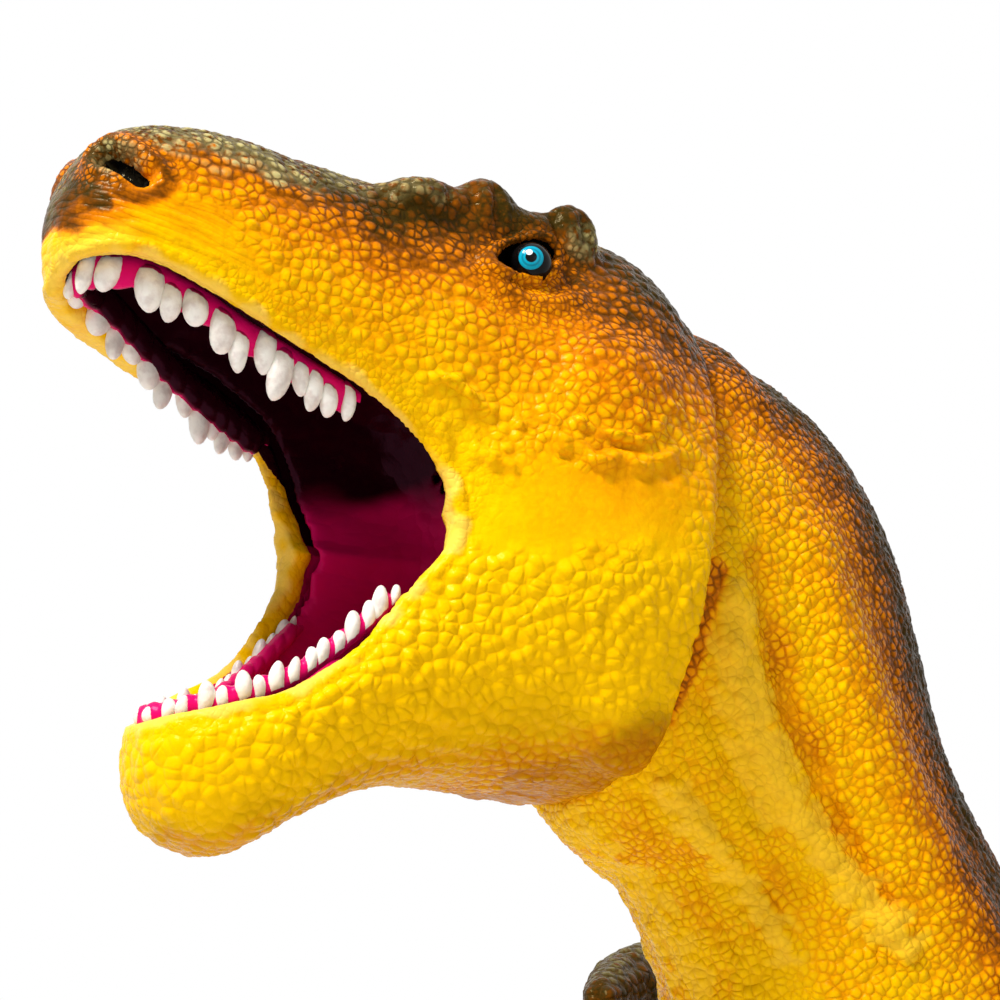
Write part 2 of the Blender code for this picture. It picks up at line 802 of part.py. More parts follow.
def plug_hole(name, face, axis, radius):
    return rod(name, face - axis * (WALL + 2 * OVERRUN), axis, WALL + 4 * OVERRUN, radius + RUNNING_GAP)


def make_body(material):
    meshes = [mesh_of_rings("body_form", [body_rings(3, RING_SIDES, 0)])]
    meshes.append(mesh_of_rings("neck_ridges", neck_ridges()))
    body = blend("body_shell", meshes, BODY_VOXEL, 6, BODY_TRIANGLES)
    combine(body, half_space("neck_end_cut", neck_face() - NECK_AXIS * (GAP / 2), NECK_AXIS))
    combine(body, half_space("tail_end_cut", tail_face() - TAIL_AXIS * (GAP / 2), TAIL_AXIS))
    for side in (-1, 1):
        combine(body, limb_pocket("hip_seat_cut", hip_face(side), side, HIP_BOSS_RADIUS, 0))
        combine(body, limb_pocket("shoulder_seat_cut", shoulder_face(side), side, SHOULDER_BOSS_RADIUS, 0))
    combine(body, body_void())
    combine(body, plug_hole("neck_hole_cut", neck_face(), NECK_AXIS, NECK_PLUG_RADIUS))
    combine(body, plug_hole("tail_hole_cut", tail_face(), TAIL_AXIS, TAIL_PLUG_RADIUS))
    for side in (-1, 1):
        axis = LEFT_AXIS * side
        combine(body, plug_hole("hip_hole_cut", hip_face(side), axis, HIP_PLUG_RADIUS))
        combine(body, plug_hole("shoulder_hole_cut", shoulder_face(side), axis, SHOULDER_PLUG_RADIUS))
    return finish(body, material)


# Plugs


def make_plug(name, face, axis, radius, depth, material):
    """A hollow plug: a shaft through the body's wall, and a flange that holds it inside."""
    inner = -(WALL + GAP)
    profile = (
        (radius - PLUG_WALL, inner - FLANGE_THICKNESS),
        (radius + FLANGE_LIP, inner - FLANGE_THICKNESS),
        (radius + FLANGE_LIP, inner),
        (radius, inner),
        (radius, depth),
        (radius - PLUG_WALL, depth),
    )
    return finish(turned(name, face, axis, profile), material)


# Tail

# Each row: back from the tail face, right, up, then half height and half width
TAIL_SHARES = (
    (-0.10, 0.0, -0.04, 1.05, 1.05),
    (0.0, 0.0, 0.0, 1.0, 1.0),
    (0.14, 0.04, 0.08, 0.90, 0.91),
    (0.27, 0.155, 0.20, 0.80, 0.81),
    (0.34, 0.335, 0.35, 0.71, 0.73),
    (0.32, 0.545, 0.54, 0.65, 0.67),
    (0.22, 0.74, 0.72, 0.60, 0.61),
    (0.03, 0.89, 0.88, 0.55, 0.56),
    (-0.20, 0.97, 0.98, 0.48, 0.48),
    (-0.425, 0.985, 1.02, 0.40, 0.40),
    (-0.65, 0.92, 1.0, 0.28, 0.29),
    (-0.805, 0.78, 0.93, 0.11, 0.12),
)


def tail_rings(steps, sides, inset):
    rows = []
    for back, right, up, high, wide in TAIL_SHARES:
        rows.append(
            (
                -TAIL_FACE_BACK - back * TAIL_SWING,
                -right * TAIL_SWING,
                -TAIL_FACE_DROP + up * TAIL_RISE,
                max(high * TAIL_HALF_HEIGHT - inset, GAP),
                max(wide * TAIL_HALF_WIDTH - inset, GAP),
            )
        )
    return tube_rings(rows, sides, steps)


def tail_front_block(name, back):
    """Everything in front of the tail's face, but not the tip that curls forward beside it."""
    start = tail_face() + TAIL_AXIS * back
    return rod(name, start, -TAIL_AXIS, TAIL_SWING, 2 * TAIL_HALF_WIDTH)


def make_tail(material):
    tail = add_object("tail_shell", mesh_of_rings("tail_shell", [tail_rings(3, 20, 0)]))
    combine(tail, tail_front_block("tail_front_cut", GAP / 2))
    void = add_object("tail_void", mesh_of_rings("tail_void", [tail_rings(2, 10, WALL + GAP)[:15]]))
    combine(void, tail_front_block("tail_void_front", GAP + TAIL_FRONT_WALL))
    settle(void)
    combine(tail, void)
    start = tail_face() - TAIL_AXIS * OVERRUN
    depth = TAIL_FRONT_WALL + 3 * OVERRUN
    combine(tail, rod("tail_bore_cut", start, TAIL_AXIS, depth, TAIL_PLUG_RADIUS + GAP))
    return finish(tail, material)


# Legs

# Each row: forward of the hip, left and up from the hip's foot line, half depth, half width
LEG_SHARES = (
    (-0.07, 0.90, 0.26, 0.45, 0.50),
    (-0.03, 0.92, 0.13, 0.92, 0.85),
    (0.03, 0.95, -0.06, 1.0, 1.0),
    (0.15, 0.98, -0.24, 0.86, 1.0),
    (0.27, 1.0, -0.39, 0.64, 0.90),
    (0.22, 1.0, -0.52, 0.52, 0.80),
    (0.07, 0.99, -0.64, 0.43, 0.70),
    (-0.02, 0.98, -0.74, 0.38, 0.66),
    (0.03, 1.0, -0.84, 0.38, 0.70),
    (0.12, 1.0, -0.93, 0.42, 0.80),
    (0.16, 1.0, -1.0, 0.44, 0.86),
)
# Each row: how far a toe's tip lies to its side and how long it is
TOE_SHARES = ((-1.0, 0.80), (0.1, 1.0), (1.1, 0.82))
TOE_REACH_SHARES = ((0.0, 1.05), (0.35, 1.0), (0.62, 0.94), (0.80, 0.80), (0.90, 0.52), (1.0, 0.22))


def leg_rows(side):
    drop = NECK_JOINT_HEIGHT - HIP_DROP
    rows = []
    for forward, left, up, deep, wide in LEG_SHARES:
        rows.append(
            (
                -HIP_BACK + forward * LEG_REACH,
                side * left * LEG_SPREAD,
                -HIP_DROP + up * drop,
                deep * LEG_HALF_DEPTH,
                wide * LEG_HALF_WIDTH,
            )
        )
    return rows


def limb_rings(rows, sides, steps):
    """Level-minded sections along a limb: half depth runs fore and aft, half width across."""
    table = smooth_rows(rows, steps)
    centres = [place(*row[:3]) for row in table]
    side = Vector((1, 0, 0))
    rings = []
    for i, row in enumerate(table):
        along = (centres[min(i + 1, len(table) - 1)] - centres[max(i - 1, 0)]).normalized()
        depth = along.cross(side).normalized()
        rings.append(oval_ring(centres[i], side, depth, row[4], row[3], sides))
    return rings


def toe_rings(side):
    """Three toes forward and a small one behind, each ending in a claw."""
    foot = leg_rows(side)[-1]
    sole = -NECK_JOINT_HEIGHT + TOE_RADIUS
    toes = []
    for spread, reach in TOE_SHARES:
        rows = []
        for along, thick in TOE_REACH_SHARES:
            radius = TOE_RADIUS * thick
            rows.append(
                (
                    foot[0] + along * reach * TOE_LENGTH,
                    foot[1] + side * spread * TOE_SPREAD * along,
                    sole - TOE_RADIUS + radius * TOE_LIFT_SHARE,
                    radius,
                    radius,
                )
            )
        toes.append(tube_rings(rows, 10, 2))
    rows = []
    for along, thick in TOE_REACH_SHARES:
        radius = TOE_RADIUS * thick * HEEL_THICK_SHARE
        rows.append(
            (
                foot[0] - along * TOE_LENGTH * HEEL_LENGTH_SHARE,
                foot[1] - side * TOE_SPREAD * HEEL_SPREAD_SHARE * along,
                sole - TOE_RADIUS + radius * TOE_LIFT_SHARE,
                radius,
                radius,
            )
        )
    toes.append(tube_rings(rows, 10, 2))
    return toes


def make_leg(name, side, material):
    face = hip_face(side)
    axis = LEFT_AXIS * side
    boss = rod("hip_boss", face + axis * (GAP / 2), axis, HIP_BOSS_LENGTH + GAP, HIP_BOSS_RADIUS)
    meshes = [mesh_of_rings("leg_form", [limb_rings(leg_rows(side), 20, 3)] + toe_rings(side)), boss.data]
    bpy.data.objects.remove(boss)
    leg = blend(name, meshes, LEG_VOXEL, 3, LEG_TRIANGLES)
    combine(leg, half_space("leg_face_cut", face + axis * GAP, -axis))
    ground = Vector((face.x, face.y, 0))
    combine(leg, half_space("sole_cut", ground, Vector((0, 0, -1))))
    depth = HIP_PLUG_DEPTH + OVERRUN + GAP
    combine(leg, rod("hip_bore_cut", face - axis * OVERRUN, axis, depth, HIP_PLUG_RADIUS + GAP))
    return finish(leg, material)


# Arms

# Each row: forward and up of the shoulder as shares of the arm's length, left, depth, width
ARM_SHARES = (
    (0.0, 0.20, 0.90, 0.60, 0.60),
    (0.0, 0.0, 0.91, 1.0, 0.95),
    (-0.04, -0.28, 0.96, 0.84, 0.92),
    (-0.03, -0.52, 1.0, 0.70, 0.82),
    (0.20, -0.66, 1.0, 0.58, 0.74),
    (0.42, -0.72, 0.98, 0.48, 0.64),
    (0.60, -0.78, 0.97, 0.48, 0.54),
)
FINGER_SHARES = ((0.0, 1.1), (0.35, 1.0), (0.65, 0.85), (0.85, 0.55), (1.0, 0.25))


def arm_rows(side):
    rows = []
    for forward, up, left, deep, wide in ARM_SHARES:
        rows.append(
            (
                -SHOULDER_BACK + forward * ARM_LENGTH,
                side * left * ARM_SPREAD,
                -SHOULDER_DROP + up * ARM_LENGTH,
                deep * ARM_HALF_DEPTH,
                wide * ARM_HALF_WIDTH,
            )
        )
    return rows


def finger_rings(side):
    hand = arm_rows(side)[-1]
    fingers = []
    for spread in (-1, 1):
        rows = []
        for along, thick in FINGER_SHARES:
            radius = FINGER_RADIUS * thick
            rows.append(
                (
                    hand[0] + along * ARM_LENGTH * FINGER_REACH_SHARE,
                    hand[1] + side * spread * FINGER_RADIUS * (0.7 + 0.5 * along),
                    hand[2] - along * ARM_LENGTH * FINGER_DROP_SHARE,
                    radius,
                    radius,
                )
            )
        fingers.append(tube_rings(rows, 8, 2))
    return fingers


def make_arm(name, side, material):
    face = shoulder_face(side)
    axis = LEFT_AXIS * side
    start = face + axis * (GAP / 2)
    boss = rod("shoulder_boss", start, axis, SHOULDER_BOSS_LENGTH + GAP, SHOULDER_BOSS_RADIUS)
    rings = [limb_rings(arm_rows(side), 14, 3)] + finger_rings(side)
    meshes = [mesh_of_rings("arm_form", rings), boss.data]
    bpy.data.objects.remove(boss)
    arm = blend(name, meshes, ARM_VOXEL, 3, ARM_TRIANGLES)
    combine(arm, half_space("arm_face_cut", face + axis * GAP, -axis))
    depth = SHOULDER_PLUG_DEPTH + OVERRUN + GAP
    combine(arm, rod("shoulder_bore_cut", face - axis * OVERRUN, axis, depth, SHOULDER_PLUG_RADIUS + GAP))
    return finish(arm, material)


# Assembly


def joint_empty(name, place_at, parent):
    empty = bpy.data.objects.new(name, None)
    empty.empty_display_size = GUM_RADIUS
    empty.location = place_at - (parent.location if parent else Vector())
    empty.parent = parent
    bpy.context.scene.collection.objects.link(empty)
    return empty


def hang(pieces, joint):
    """Parents pieces to their joint's empty and moves their origins onto it."""
    world = joint.location + (joint.parent.location if joint.parent else Vector())
    for piece in pieces:
        piece.data.transform(Matrix.Translation(-world))
        piece.parent = joint


def lowest_and_highest(pieces):
    bpy.context.view_layer.update()
    points = [piece.matrix_world @ vertex.co for piece in pieces for vertex in piece.data.vertices]
    low = Vector([min(p[j] for p in points) for j in range(3)])
    high = Vector([max(p[j] for p in points) for j in range(3)])
    return low, high


def main():
    for obj in list(bpy.data.objects):
        bpy.data.objects.remove(obj, do_unlink=True)
    skin = plastic("skin_vinyl", (0.72, 0.42, 0.02), 0.45)
    mouth = plastic("mouth_vinyl", (0.35, 0.006, 0.06), 0.25)
    ivory = plastic("tooth_vinyl", (0.80, 0.74, 0.68), 0.35)
    eye_gloss = plastic("eye_plastic", (0.0, 0.42, 0.55), 0.08)
    black = plastic("plug_plastic", (0.02, 0.02, 0.02), 0.5)

    figure = joint_empty("figure", Vector(), None)
    body = [make_body(skin)]
    head = [make_head(skin)] + make_mouth(mouth, ivory)
    head += [make_tongue(mouth), make_eye("eye_left", 1, eye_gloss), make_eye("eye_right", -1, eye_gloss)]
    head.append(
        make_plug("neck_plug", neck_face(), NECK_AXIS, NECK_PLUG_RADIUS, HEAD_BACK_WALL, black)
    )
    tail = [make_tail(skin)]
    tail.append(make_plug("tail_plug", tail_face(), TAIL_AXIS, TAIL_PLUG_RADIUS, TAIL_FRONT_WALL, black))
    groups = [(body, figure)]
    groups.append((head, joint_empty("neck_joint", neck_face(), figure)))
    groups.append((tail, joint_empty("tail_joint", tail_face(), figure)))
    for word, side in (("left", 1), ("right", -1)):
        axis = LEFT_AXIS * side
        leg = [make_leg("leg_" + word, side, skin)]
        leg.append(
            make_plug("hip_plug_" + word, hip_face(side), axis, HIP_PLUG_RADIUS, HIP_PLUG_DEPTH, black)
        )
        groups.append((leg, joint_empty("hip_joint_" + word, hip_face(side), figure)))
        arm = [make_arm("arm_" + word, side, skin)]
        arm.append(
            make_plug(
                "shoulder_plug_" + word,
                shoulder_face(side),
                axis,
                SHOULDER_PLUG_RADIUS,
                SHOULDER_PLUG_DEPTH,
                black,
            )
        )
        groups.append((arm, joint_empty("shoulder_joint_" + word, shoulder_face(side), figure)))
    for pieces, joint in groups:
        hang(pieces, joint)
    every = [piece for pieces, _ in groups for piece in pieces]
    low, high = lowest_and_highest(every)
    figure.location = Vector((-(low.x + high.x) / 2, -(low.y + high.y) / 2, -low.z))
    bpy.context.view_layer.update()
    for _, joint in groups:
        print(joint.name, [round(v, 5) for v in joint.matrix_world.translation])
    print("box", [round(v, 4) for v in high - low])


main()
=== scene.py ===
"""Looks of the toy dinosaur figure: painted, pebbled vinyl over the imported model's solids.

Places in this script are (forward, left, up) in millimetres from the centre of the neck joint.
Every vinyl piece is its solid's outer surface, remeshed finely, sculpted by soft strokes and then
raised into scales. Each point of a skin carries masks, numbers from 0 to 1 that say which scales
grow there and how it is painted, and the relief and the paint both read them.
"""

import json
import math

import bmesh
import bpy
import numpy as np
from mathutils import Matrix, Vector
from mathutils.bvhtree import BVHTree


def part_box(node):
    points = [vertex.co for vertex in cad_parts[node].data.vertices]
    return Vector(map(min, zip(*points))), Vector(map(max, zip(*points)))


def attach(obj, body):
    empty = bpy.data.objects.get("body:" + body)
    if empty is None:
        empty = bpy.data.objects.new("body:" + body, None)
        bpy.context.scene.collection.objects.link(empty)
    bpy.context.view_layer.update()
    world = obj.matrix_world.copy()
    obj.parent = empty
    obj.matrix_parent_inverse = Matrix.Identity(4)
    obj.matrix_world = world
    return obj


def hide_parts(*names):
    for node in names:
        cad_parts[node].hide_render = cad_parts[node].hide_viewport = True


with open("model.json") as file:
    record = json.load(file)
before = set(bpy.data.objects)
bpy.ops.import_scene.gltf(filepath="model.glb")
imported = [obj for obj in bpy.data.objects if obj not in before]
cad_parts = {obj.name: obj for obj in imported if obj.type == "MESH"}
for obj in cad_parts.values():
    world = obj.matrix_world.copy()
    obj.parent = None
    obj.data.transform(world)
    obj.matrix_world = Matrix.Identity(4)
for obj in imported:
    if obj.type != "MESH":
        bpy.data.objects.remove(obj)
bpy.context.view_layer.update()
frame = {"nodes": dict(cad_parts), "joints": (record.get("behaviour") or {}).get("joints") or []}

MM = 0.001
TURN = 2 * math.pi
NECK_FACE_FORWARD = 4.2

# Camera, from the photograph's perspective. Lines in its view are in thousandths of its width.
CAMERA_AZIMUTH = math.radians(58)
CAMERA_ELEVATION = math.radians(-13)
CAMERA_OFFSET = Vector((0.27575, -0.19337, -0.06738))
CAMERA_LENS = 86.4
SENSOR_WIDTH = 36
VIEW_WIDTH = 1000

# Mesh resolution in mm
HEAD_VOXEL = 0.59
BODY_VOXEL = 1.36
TAIL_VOXEL = 1.15
LEG_VOXEL = 0.95
ARM_VOXEL = 0.55
LINER_VOXEL = 0.75
WELD = 1e-6

# Paints, as red, green and blue from 0 to 255
YELLOW = (248, 190, 0)
DEEP_YELLOW = (243, 164, 0)
ORANGE = (212, 116, 2)
BROWN = (124, 64, 4)
OLIVE = (52, 40, 8)
PALE_OLIVE = (186, 172, 112)
CREAM = (250, 222, 120)
RUST_BROWN_AND_SHADOW = (128, 72, 0)
GROOVE = (200, 118, 0)
DARK_GROOVE = (92, 50, 6)
MAGENTA = (182, 6, 80)
THROAT = (218, 10, 98)
SHADE_MAROON = (34, 2, 11)
BONE = (243, 236, 226)
WORN_BONE = (214, 200, 190)
IRIS = (0, 158, 186)
IRIS_RING = (4, 60, 76)
PAINTED_GLINT_WHITE = (250, 252, 255)
BLACK = (9, 8, 8)
CLAW = (52, 44, 38)
PLUG_BLACK = (24, 24, 26)
PLUG_GREY = (34, 34, 36)
PAPER = (236, 236, 234)
PALE_PAPER = (242, 242, 240)
WHITE = (1, 1, 1, 1)
# Shades from the belly's to the back's
SHADES = ((0.0, YELLOW), (0.32, YELLOW), (0.50, DEEP_YELLOW), (0.70, ORANGE), (0.87, BROWN), (1.0, OLIVE))

# The gape's edge in side view as forward and up, from the snout to the chin
LIP_LINE = (
    (99.0, 27.7), (88.7, 28.5), (84.6, 29.5), (81.0, 29.2), (76.5, 28.0), (70.2, 25.2), (63.0, 21.3),
    (56.7, 18.1), (51.3, 15.3), (47.2, 12.4), (43.6, 8.4), (41.2, 4.0), (40.2, -0.9), (41.1, -5.2),
    (44.0, -8.7), (48.2, -11.8), (54.5, -16.1), (59.4, -19.6), (65.7, -23.3), (71.1, -26.2),
    (76.5, -28.3), (81.0, -29.6), (91.8, -32.3),
)
UPPER_LIP = slice(0, 11)
LOWER_LIP = slice(14, None)
GAPE_FRONT = 140


def joint(name):
    """A joint's place and its axis."""
    found = next(each for each in frame["joints"] if each["name"] == name)
    return Vector(found["pos_m"]), Vector(found["axis"])


NECK = joint("neck_turn")[0] + Vector((0, NECK_FACE_FORWARD * MM, 0))


def own_axes(vectors):
    """World vectors as forward, left and up."""
    return np.stack([-vectors[:, 1], vectors[:, 0], vectors[:, 2]], axis=1)


def world_axes(vectors):
    """Forward, left and up as world vectors."""
    return np.stack([vectors[:, 1], -vectors[:, 0], vectors[:, 2]], axis=1)


# Shapes of numbers


def ease(low, high, x):
    """0 at low, 1 at high and smooth between them; low may be the larger."""
    t = np.clip((x - low) / (high - low), 0, 1)
    return t * t * (3 - 2 * t)


def band(low, high, soft, x):
    """1 between low and high, easing to 0 over a soft edge on both sides."""
    return ease(low - soft, low + soft, x) * ease(high + soft, high - soft, x)


def unit(vector):
    return vector / np.linalg.norm(vector)


def span(vectors):
    return np.linalg.norm(vectors, axis=1)


def ripple(at, size, seed):
    """A smooth, repeatable variation from about -1 to 1 with waves of about that size."""
    chance = np.random.default_rng(seed)
    total = np.zeros(len(at))
    for _ in range(14):
        direction = unit(chance.normal(size=3))
        turns = TURN * chance.uniform(0.6, 1.6) / size
        total += np.sin(at @ direction * turns + chance.uniform(0, TURN))
    return np.clip(total / 4.5, -1, 1)


def distance_to_line(points, line):
    """Distance to a chain of points."""
    line = np.array(line, float)
    best = np.full(len(points), 1e9)
    for a, b in zip(line, line[1:]):
        step = b - a
        share = np.clip((points - a) @ step / np.linalg.norm(step) ** 2, 0, 1)
        best = np.minimum(best, span(points - a - share[:, None] * step))
    return best


def lip_distance(at):
    """Distance to the gape's edge in side view, positive in the flesh and negative in the gape."""
    line = np.array(LIP_LINE)
    side = at[:, [0, 2]]
    inside = np.zeros(len(at), bool)
    loop = np.vstack([line, [(GAPE_FRONT, line[-1][1]), (GAPE_FRONT, line[0][1])]])
    for a, b in zip(loop, np.roll(loop, -1, axis=0)):
        crosses = (a[1] > side[:, 1]) != (b[1] > side[:, 1])
        with np.errstate(divide="ignore", invalid="ignore"):
            at_height = a[0] + (side[:, 1] - a[1]) * (b[0] - a[0]) / (b[1] - a[1])
        inside ^= crosses & (side[:, 0] < at_height)
    return distance_to_line(side, line) * np.where(inside, -1, 1)


# Meshes


def added(name, data):
    obj = bpy.data.objects.new(name, data)
    bpy.context.scene.collection.objects.link(obj)
    return obj


def built(name, made):
    """The object of a bmesh."""
    mesh = bpy.data.meshes.new(name)
    made.to_mesh(mesh)
    made.free()
    return added(name, mesh)


def settle(obj):
    """Bakes an object's modifiers into its mesh."""
    graph = bpy.context.evaluated_depsgraph_get()
    mesh = bpy.data.meshes.new_from_object(obj.evaluated_get(graph))
    obj.modifiers.clear()
    obj.data = mesh


def smooth(obj, steps):
    modifier = obj.modifiers.new("ease", "SMOOTH")
    modifier.factor = 0.5
    modifier.iterations = steps
    settle(obj)


def stopper(name, offset, radius, length, axis=None):
    """A disc for the bore at a joint: its middle, axis, radius and length, with sizes in mm."""
    place, own_axis = joint(name)
    axis = axis or own_axis
    return place + axis * offset * MM, axis, radius, length


def melted(name, node, voxel, steps, stoppers=()):
    """A node's outer surface as an even mesh. Stoppers close its bores, which drops its hollow."""
    made = bmesh.new()
    made.from_mesh(frame["nodes"][node].data)
    bmesh.ops.remove_doubles(made, verts=made.verts, dist=WELD)
    for centre, axis, radius, length in stoppers:
        place = Matrix.Translation(centre) @ axis.to_track_quat("Z", "Y").to_matrix().to_4x4()
        sizes = {"radius1": radius * MM, "radius2": radius * MM, "depth": length * MM}
        bmesh.ops.create_cone(made, cap_ends=True, segments=24, matrix=place, **sizes)
    obj = built(name, made)
    remesh = obj.modifiers.new("melt", "REMESH")
    remesh.mode = "VOXEL"
    remesh.voxel_size = voxel * MM
    settle(obj)
    smooth(obj, steps)
    return obj


def refine(obj, chosen):
    """Splits the edges between chosen vertices once."""
    made = bmesh.new()
    made.from_mesh(obj.data)
    edges = [edge for edge in made.edges if all(chosen[vert.index] for vert in edge.verts)]
    bmesh.ops.subdivide_edges(made, edges=edges, cuts=1, use_grid_fill=True)
    made.to_mesh(obj.data)
    made.free()


def corners(obj):
    co = np.empty(len(obj.data.vertices) * 3)
    obj.data.vertices.foreach_get("co", co)
    return co.reshape(-1, 3)


def set_corners(obj, co):
    obj.data.vertices.foreach_set("co", np.ascontiguousarray(co, float).ravel())
    obj.data.update()


def places(obj):
    """An object's vertices as forward, left and up in mm from the neck."""
    return own_axes((corners(obj) - np.array(NECK)) / MM)


def set_places(obj, at):
    set_corners(obj, np.array(NECK) + world_axes(at) * MM)


def normals(obj):
    """Vertex normals as forward, left and up."""
    found = np.empty(len(obj.data.vertices) * 3, np.float32)
    obj.data.vertex_normals.foreach_get("vector", found)
    return own_axes(found.reshape(-1, 3).astype(float))


def store(obj, name, values):
    """Keeps a number, or three, for every vertex."""
    kind, field = ("FLOAT_VECTOR", "vector") if values.ndim == 2 else ("FLOAT", "value")
    kept = obj.data.attributes.new(name, kind, "POINT")
    kept.data.foreach_set(field, np.ascontiguousarray(values, np.float32).ravel())


def coat(obj, material, smooth_faces=True):
    """Gives an object one material."""
    obj.data.materials.clear()
    obj.data.materials.append(material)
    if smooth_faces:
        obj.data.polygons.foreach_set("use_smooth", [True] * len(obj.data.polygons))
        obj.data.update()


# Node trees, written in short calls that work for shaders and for geometry


class Value:
    """A node's output that adds and multiplies like a number."""

    def __init__(self, graph, socket):
        self.graph = graph
        self.socket = socket

    def __add__(self, other):
        return self.graph.calc("ADD", self, other)

    def __mul__(self, other):
        return self.graph.calc("MULTIPLY", self, other)

    def __sub__(self, number):
        return self + -number

    __radd__ = __add__


class Graph:
    """Adds nodes to a tree. Numbers, colours, sockets and values are all good as inputs."""

    def __init__(self, tree):
        self.tree = tree
        self.shader = tree.bl_idname == "ShaderNodeTree"
        self.known = {}

    def add(self, kind, **settings):
        node = self.tree.nodes.new(kind)
        for name, value in settings.items():
            setattr(node, name, value)
        return node

    def put(self, value, socket):
        value = getattr(value, "socket", value)
        if isinstance(value, bpy.types.NodeSocket):
            self.tree.links.new(value, socket)
        else:
            socket.default_value = value

    def fill(self, node, inputs):
        """Puts a value into each of a node's inputs that are named."""
        for name, value in inputs.items():
            self.put(value, node.inputs[name])

    def mask(self, name, shader_output="Fac", kind="FLOAT"):
        """A number kept on the mesh."""
        if name not in self.known:
            if self.shader:
                found = self.add("ShaderNodeAttribute", attribute_name=name).outputs[shader_output]
            else:
                node = self.add("GeometryNodeInputNamedAttribute", data_type=kind)
                node.inputs["Name"].default_value = name
                found = node.outputs["Attribute"]
            self.known[name] = Value(self, found)
        return self.known[name]

    def place(self):
        """The resting place in mm, kept on the mesh as grain."""
        return self.mask("grain", "Vector", "FLOAT_VECTOR")

    def calc(self, operation, a, b, clamp=False):
        node = self.add("ShaderNodeMath", operation=operation, use_clamp=clamp)
        self.fill(node, {0: a, 1: b})
        return Value(self, node.outputs[0])

    def rest(self, value):
        """What is left of 1."""
        return self.calc("SUBTRACT", 1.0, value, clamp=True)

    def ease(self, low, high, value):
        node = self.add("ShaderNodeMapRange", interpolation_type="SMOOTHSTEP")
        if low > high:
            low, high = high, low
            self.fill(node, {"To Min": 1, "To Max": 0})
        self.fill(node, {"Value": value, "From Min": low, "From Max": high})
        return Value(self, node.outputs["Result"])

    def tint(self, share, a, b):
        """A mix of two colours, each a socket or a paint."""
        a, b = (paint(colour) if isinstance(colour, tuple) else colour for colour in (a, b))
        node = self.add("ShaderNodeMix", data_type="RGBA")
        self.fill(node, {0: share, 6: a, 7: b})
        return node.outputs[2]

    def vector(self, operation, a, b):
        node = self.add("ShaderNodeVectorMath", operation=operation)
        self.fill(node, {0: a, "Scale" if operation == "SCALE" else 1: b})
        return node.outputs[0]

    def turned(self, place, angles):
        node = self.add("ShaderNodeVectorRotate", rotation_type="EULER_XYZ")
        self.fill(node, {"Vector": place, "Rotation": angles})
        return node.outputs["Vector"]

    def pattern(self, kind, place, sizes, inputs, **settings):
        """A texture of one size, or of one for each direction, as its outputs."""
        node = self.add(kind, **settings)
        sizes = sizes if isinstance(sizes, tuple) else (sizes,) * 3
        self.fill(node, {"Vector": self.vector("DIVIDE", place, sizes), "Scale": 1, **inputs})
        return node.outputs

    def noise(self, place, size, detail=2.0):
        """A soft variation between 0 and 1 with features of about that size."""
        return Value(self, self.pattern("ShaderNodeTexNoise", place, size, {"Detail": detail})[0])

    def cells(self, place, size, feature="DISTANCE_TO_EDGE", randomness=1.0):
        inputs = {"Randomness": randomness}
        found = self.pattern("ShaderNodeTexVoronoi", place, size, inputs, feature=feature)
        return Value(self, found["Distance"])

    def warped(self, place, size, reach):
        """A place pushed about by noise, so that cells are less even."""
        noise = self.pattern("ShaderNodeTexNoise", place, size, {"Detail": 1})["Color"]
        push = self.vector("SCALE", self.vector("SUBTRACT", noise, (0.5, 0.5, 0.5)), reach)
        return self.vector("ADD", place, push)


def paint(colour):
    """A paint's red, green and blue from 0 to 255 as a shader colour."""
    linear = []
    for part in colour:
        part = part / 255
        linear.append(part / 12.92 if part <= 0.04045 else ((part + 0.055) / 1.055) ** 2.4)
    return (*linear, 1)


# Scales by the mask that places them: size in mm, height in mm and how unevenly they lie
SCALE_KINDS = {
    "fine": (0.92, 0.21, 0.85),
    "pebble": (1.42, 0.36, 0.80),
    "bead": (1.75, 0.50, 0.92),
    "neck_pebble": (1.30, 0.54, 0.66),
    "large": (2.7, 0.85, 0.80),
}
# How the neck's rows of scales and the folds are turned, in radians
NECK_TURN = (0.35, 0.95, 0.25)
FOLD_TURN = (0, 0.37, 0)
FOLD_SIZES = (9.0, 2.6, 0.66)
FOLD_HEIGHT = 0.17
# Size and reach in mm of the noise that bends the scales, the folds and the mouth's ridges
SCALE_WARP = (5.0, 1.2)
FOLD_WARP = (9.0, 2.0)
MOUTH_WARP = (4.0, 1.2)


def relief(graph, kinds):
    """Height of the scales in mm, how deep in a groove a place is, and how near a scale's top."""
    place = graph.warped(graph.place(), *SCALE_WARP)
    uneven = graph.noise(graph.place(), 2.4, 1.0) + 0.45
    heights, grooves, tops = [], [], []
    for name in kinds:
        mask = graph.mask(name)
        if name == "fold":
            long_way = graph.turned(graph.warped(graph.place(), *FOLD_WARP), FOLD_TURN)
            away = graph.cells(long_way, FOLD_SIZES, "F1", 0.9)
            heights.append(mask * graph.rest(away * away * 1.6) * FOLD_HEIGHT)
            grooves.append(mask * graph.ease(0.50, 0.72, away) * 0.6)
        else:
            size, height, randomness = SCALE_KINDS[name]
            lie = graph.turned(place, NECK_TURN) if name == "neck_pebble" else place
            away = graph.cells(lie, size, "F1", randomness)
            edge = graph.cells(lie, size, randomness=randomness)
            dome = graph.rest(away * away * 1.25) * (graph.ease(0.0, 0.20, edge) * 0.28 + 0.72)
            heights.append(mask * uneven * dome * height)
            tops.append(mask * graph.ease(0.55, 0.92, dome))
            grooves.append(mask * graph.ease(0.16, 0.0, edge) * 0.45)
    return sum(heights), graph.calc("MINIMUM", sum(grooves), 1.0), sum(tops)


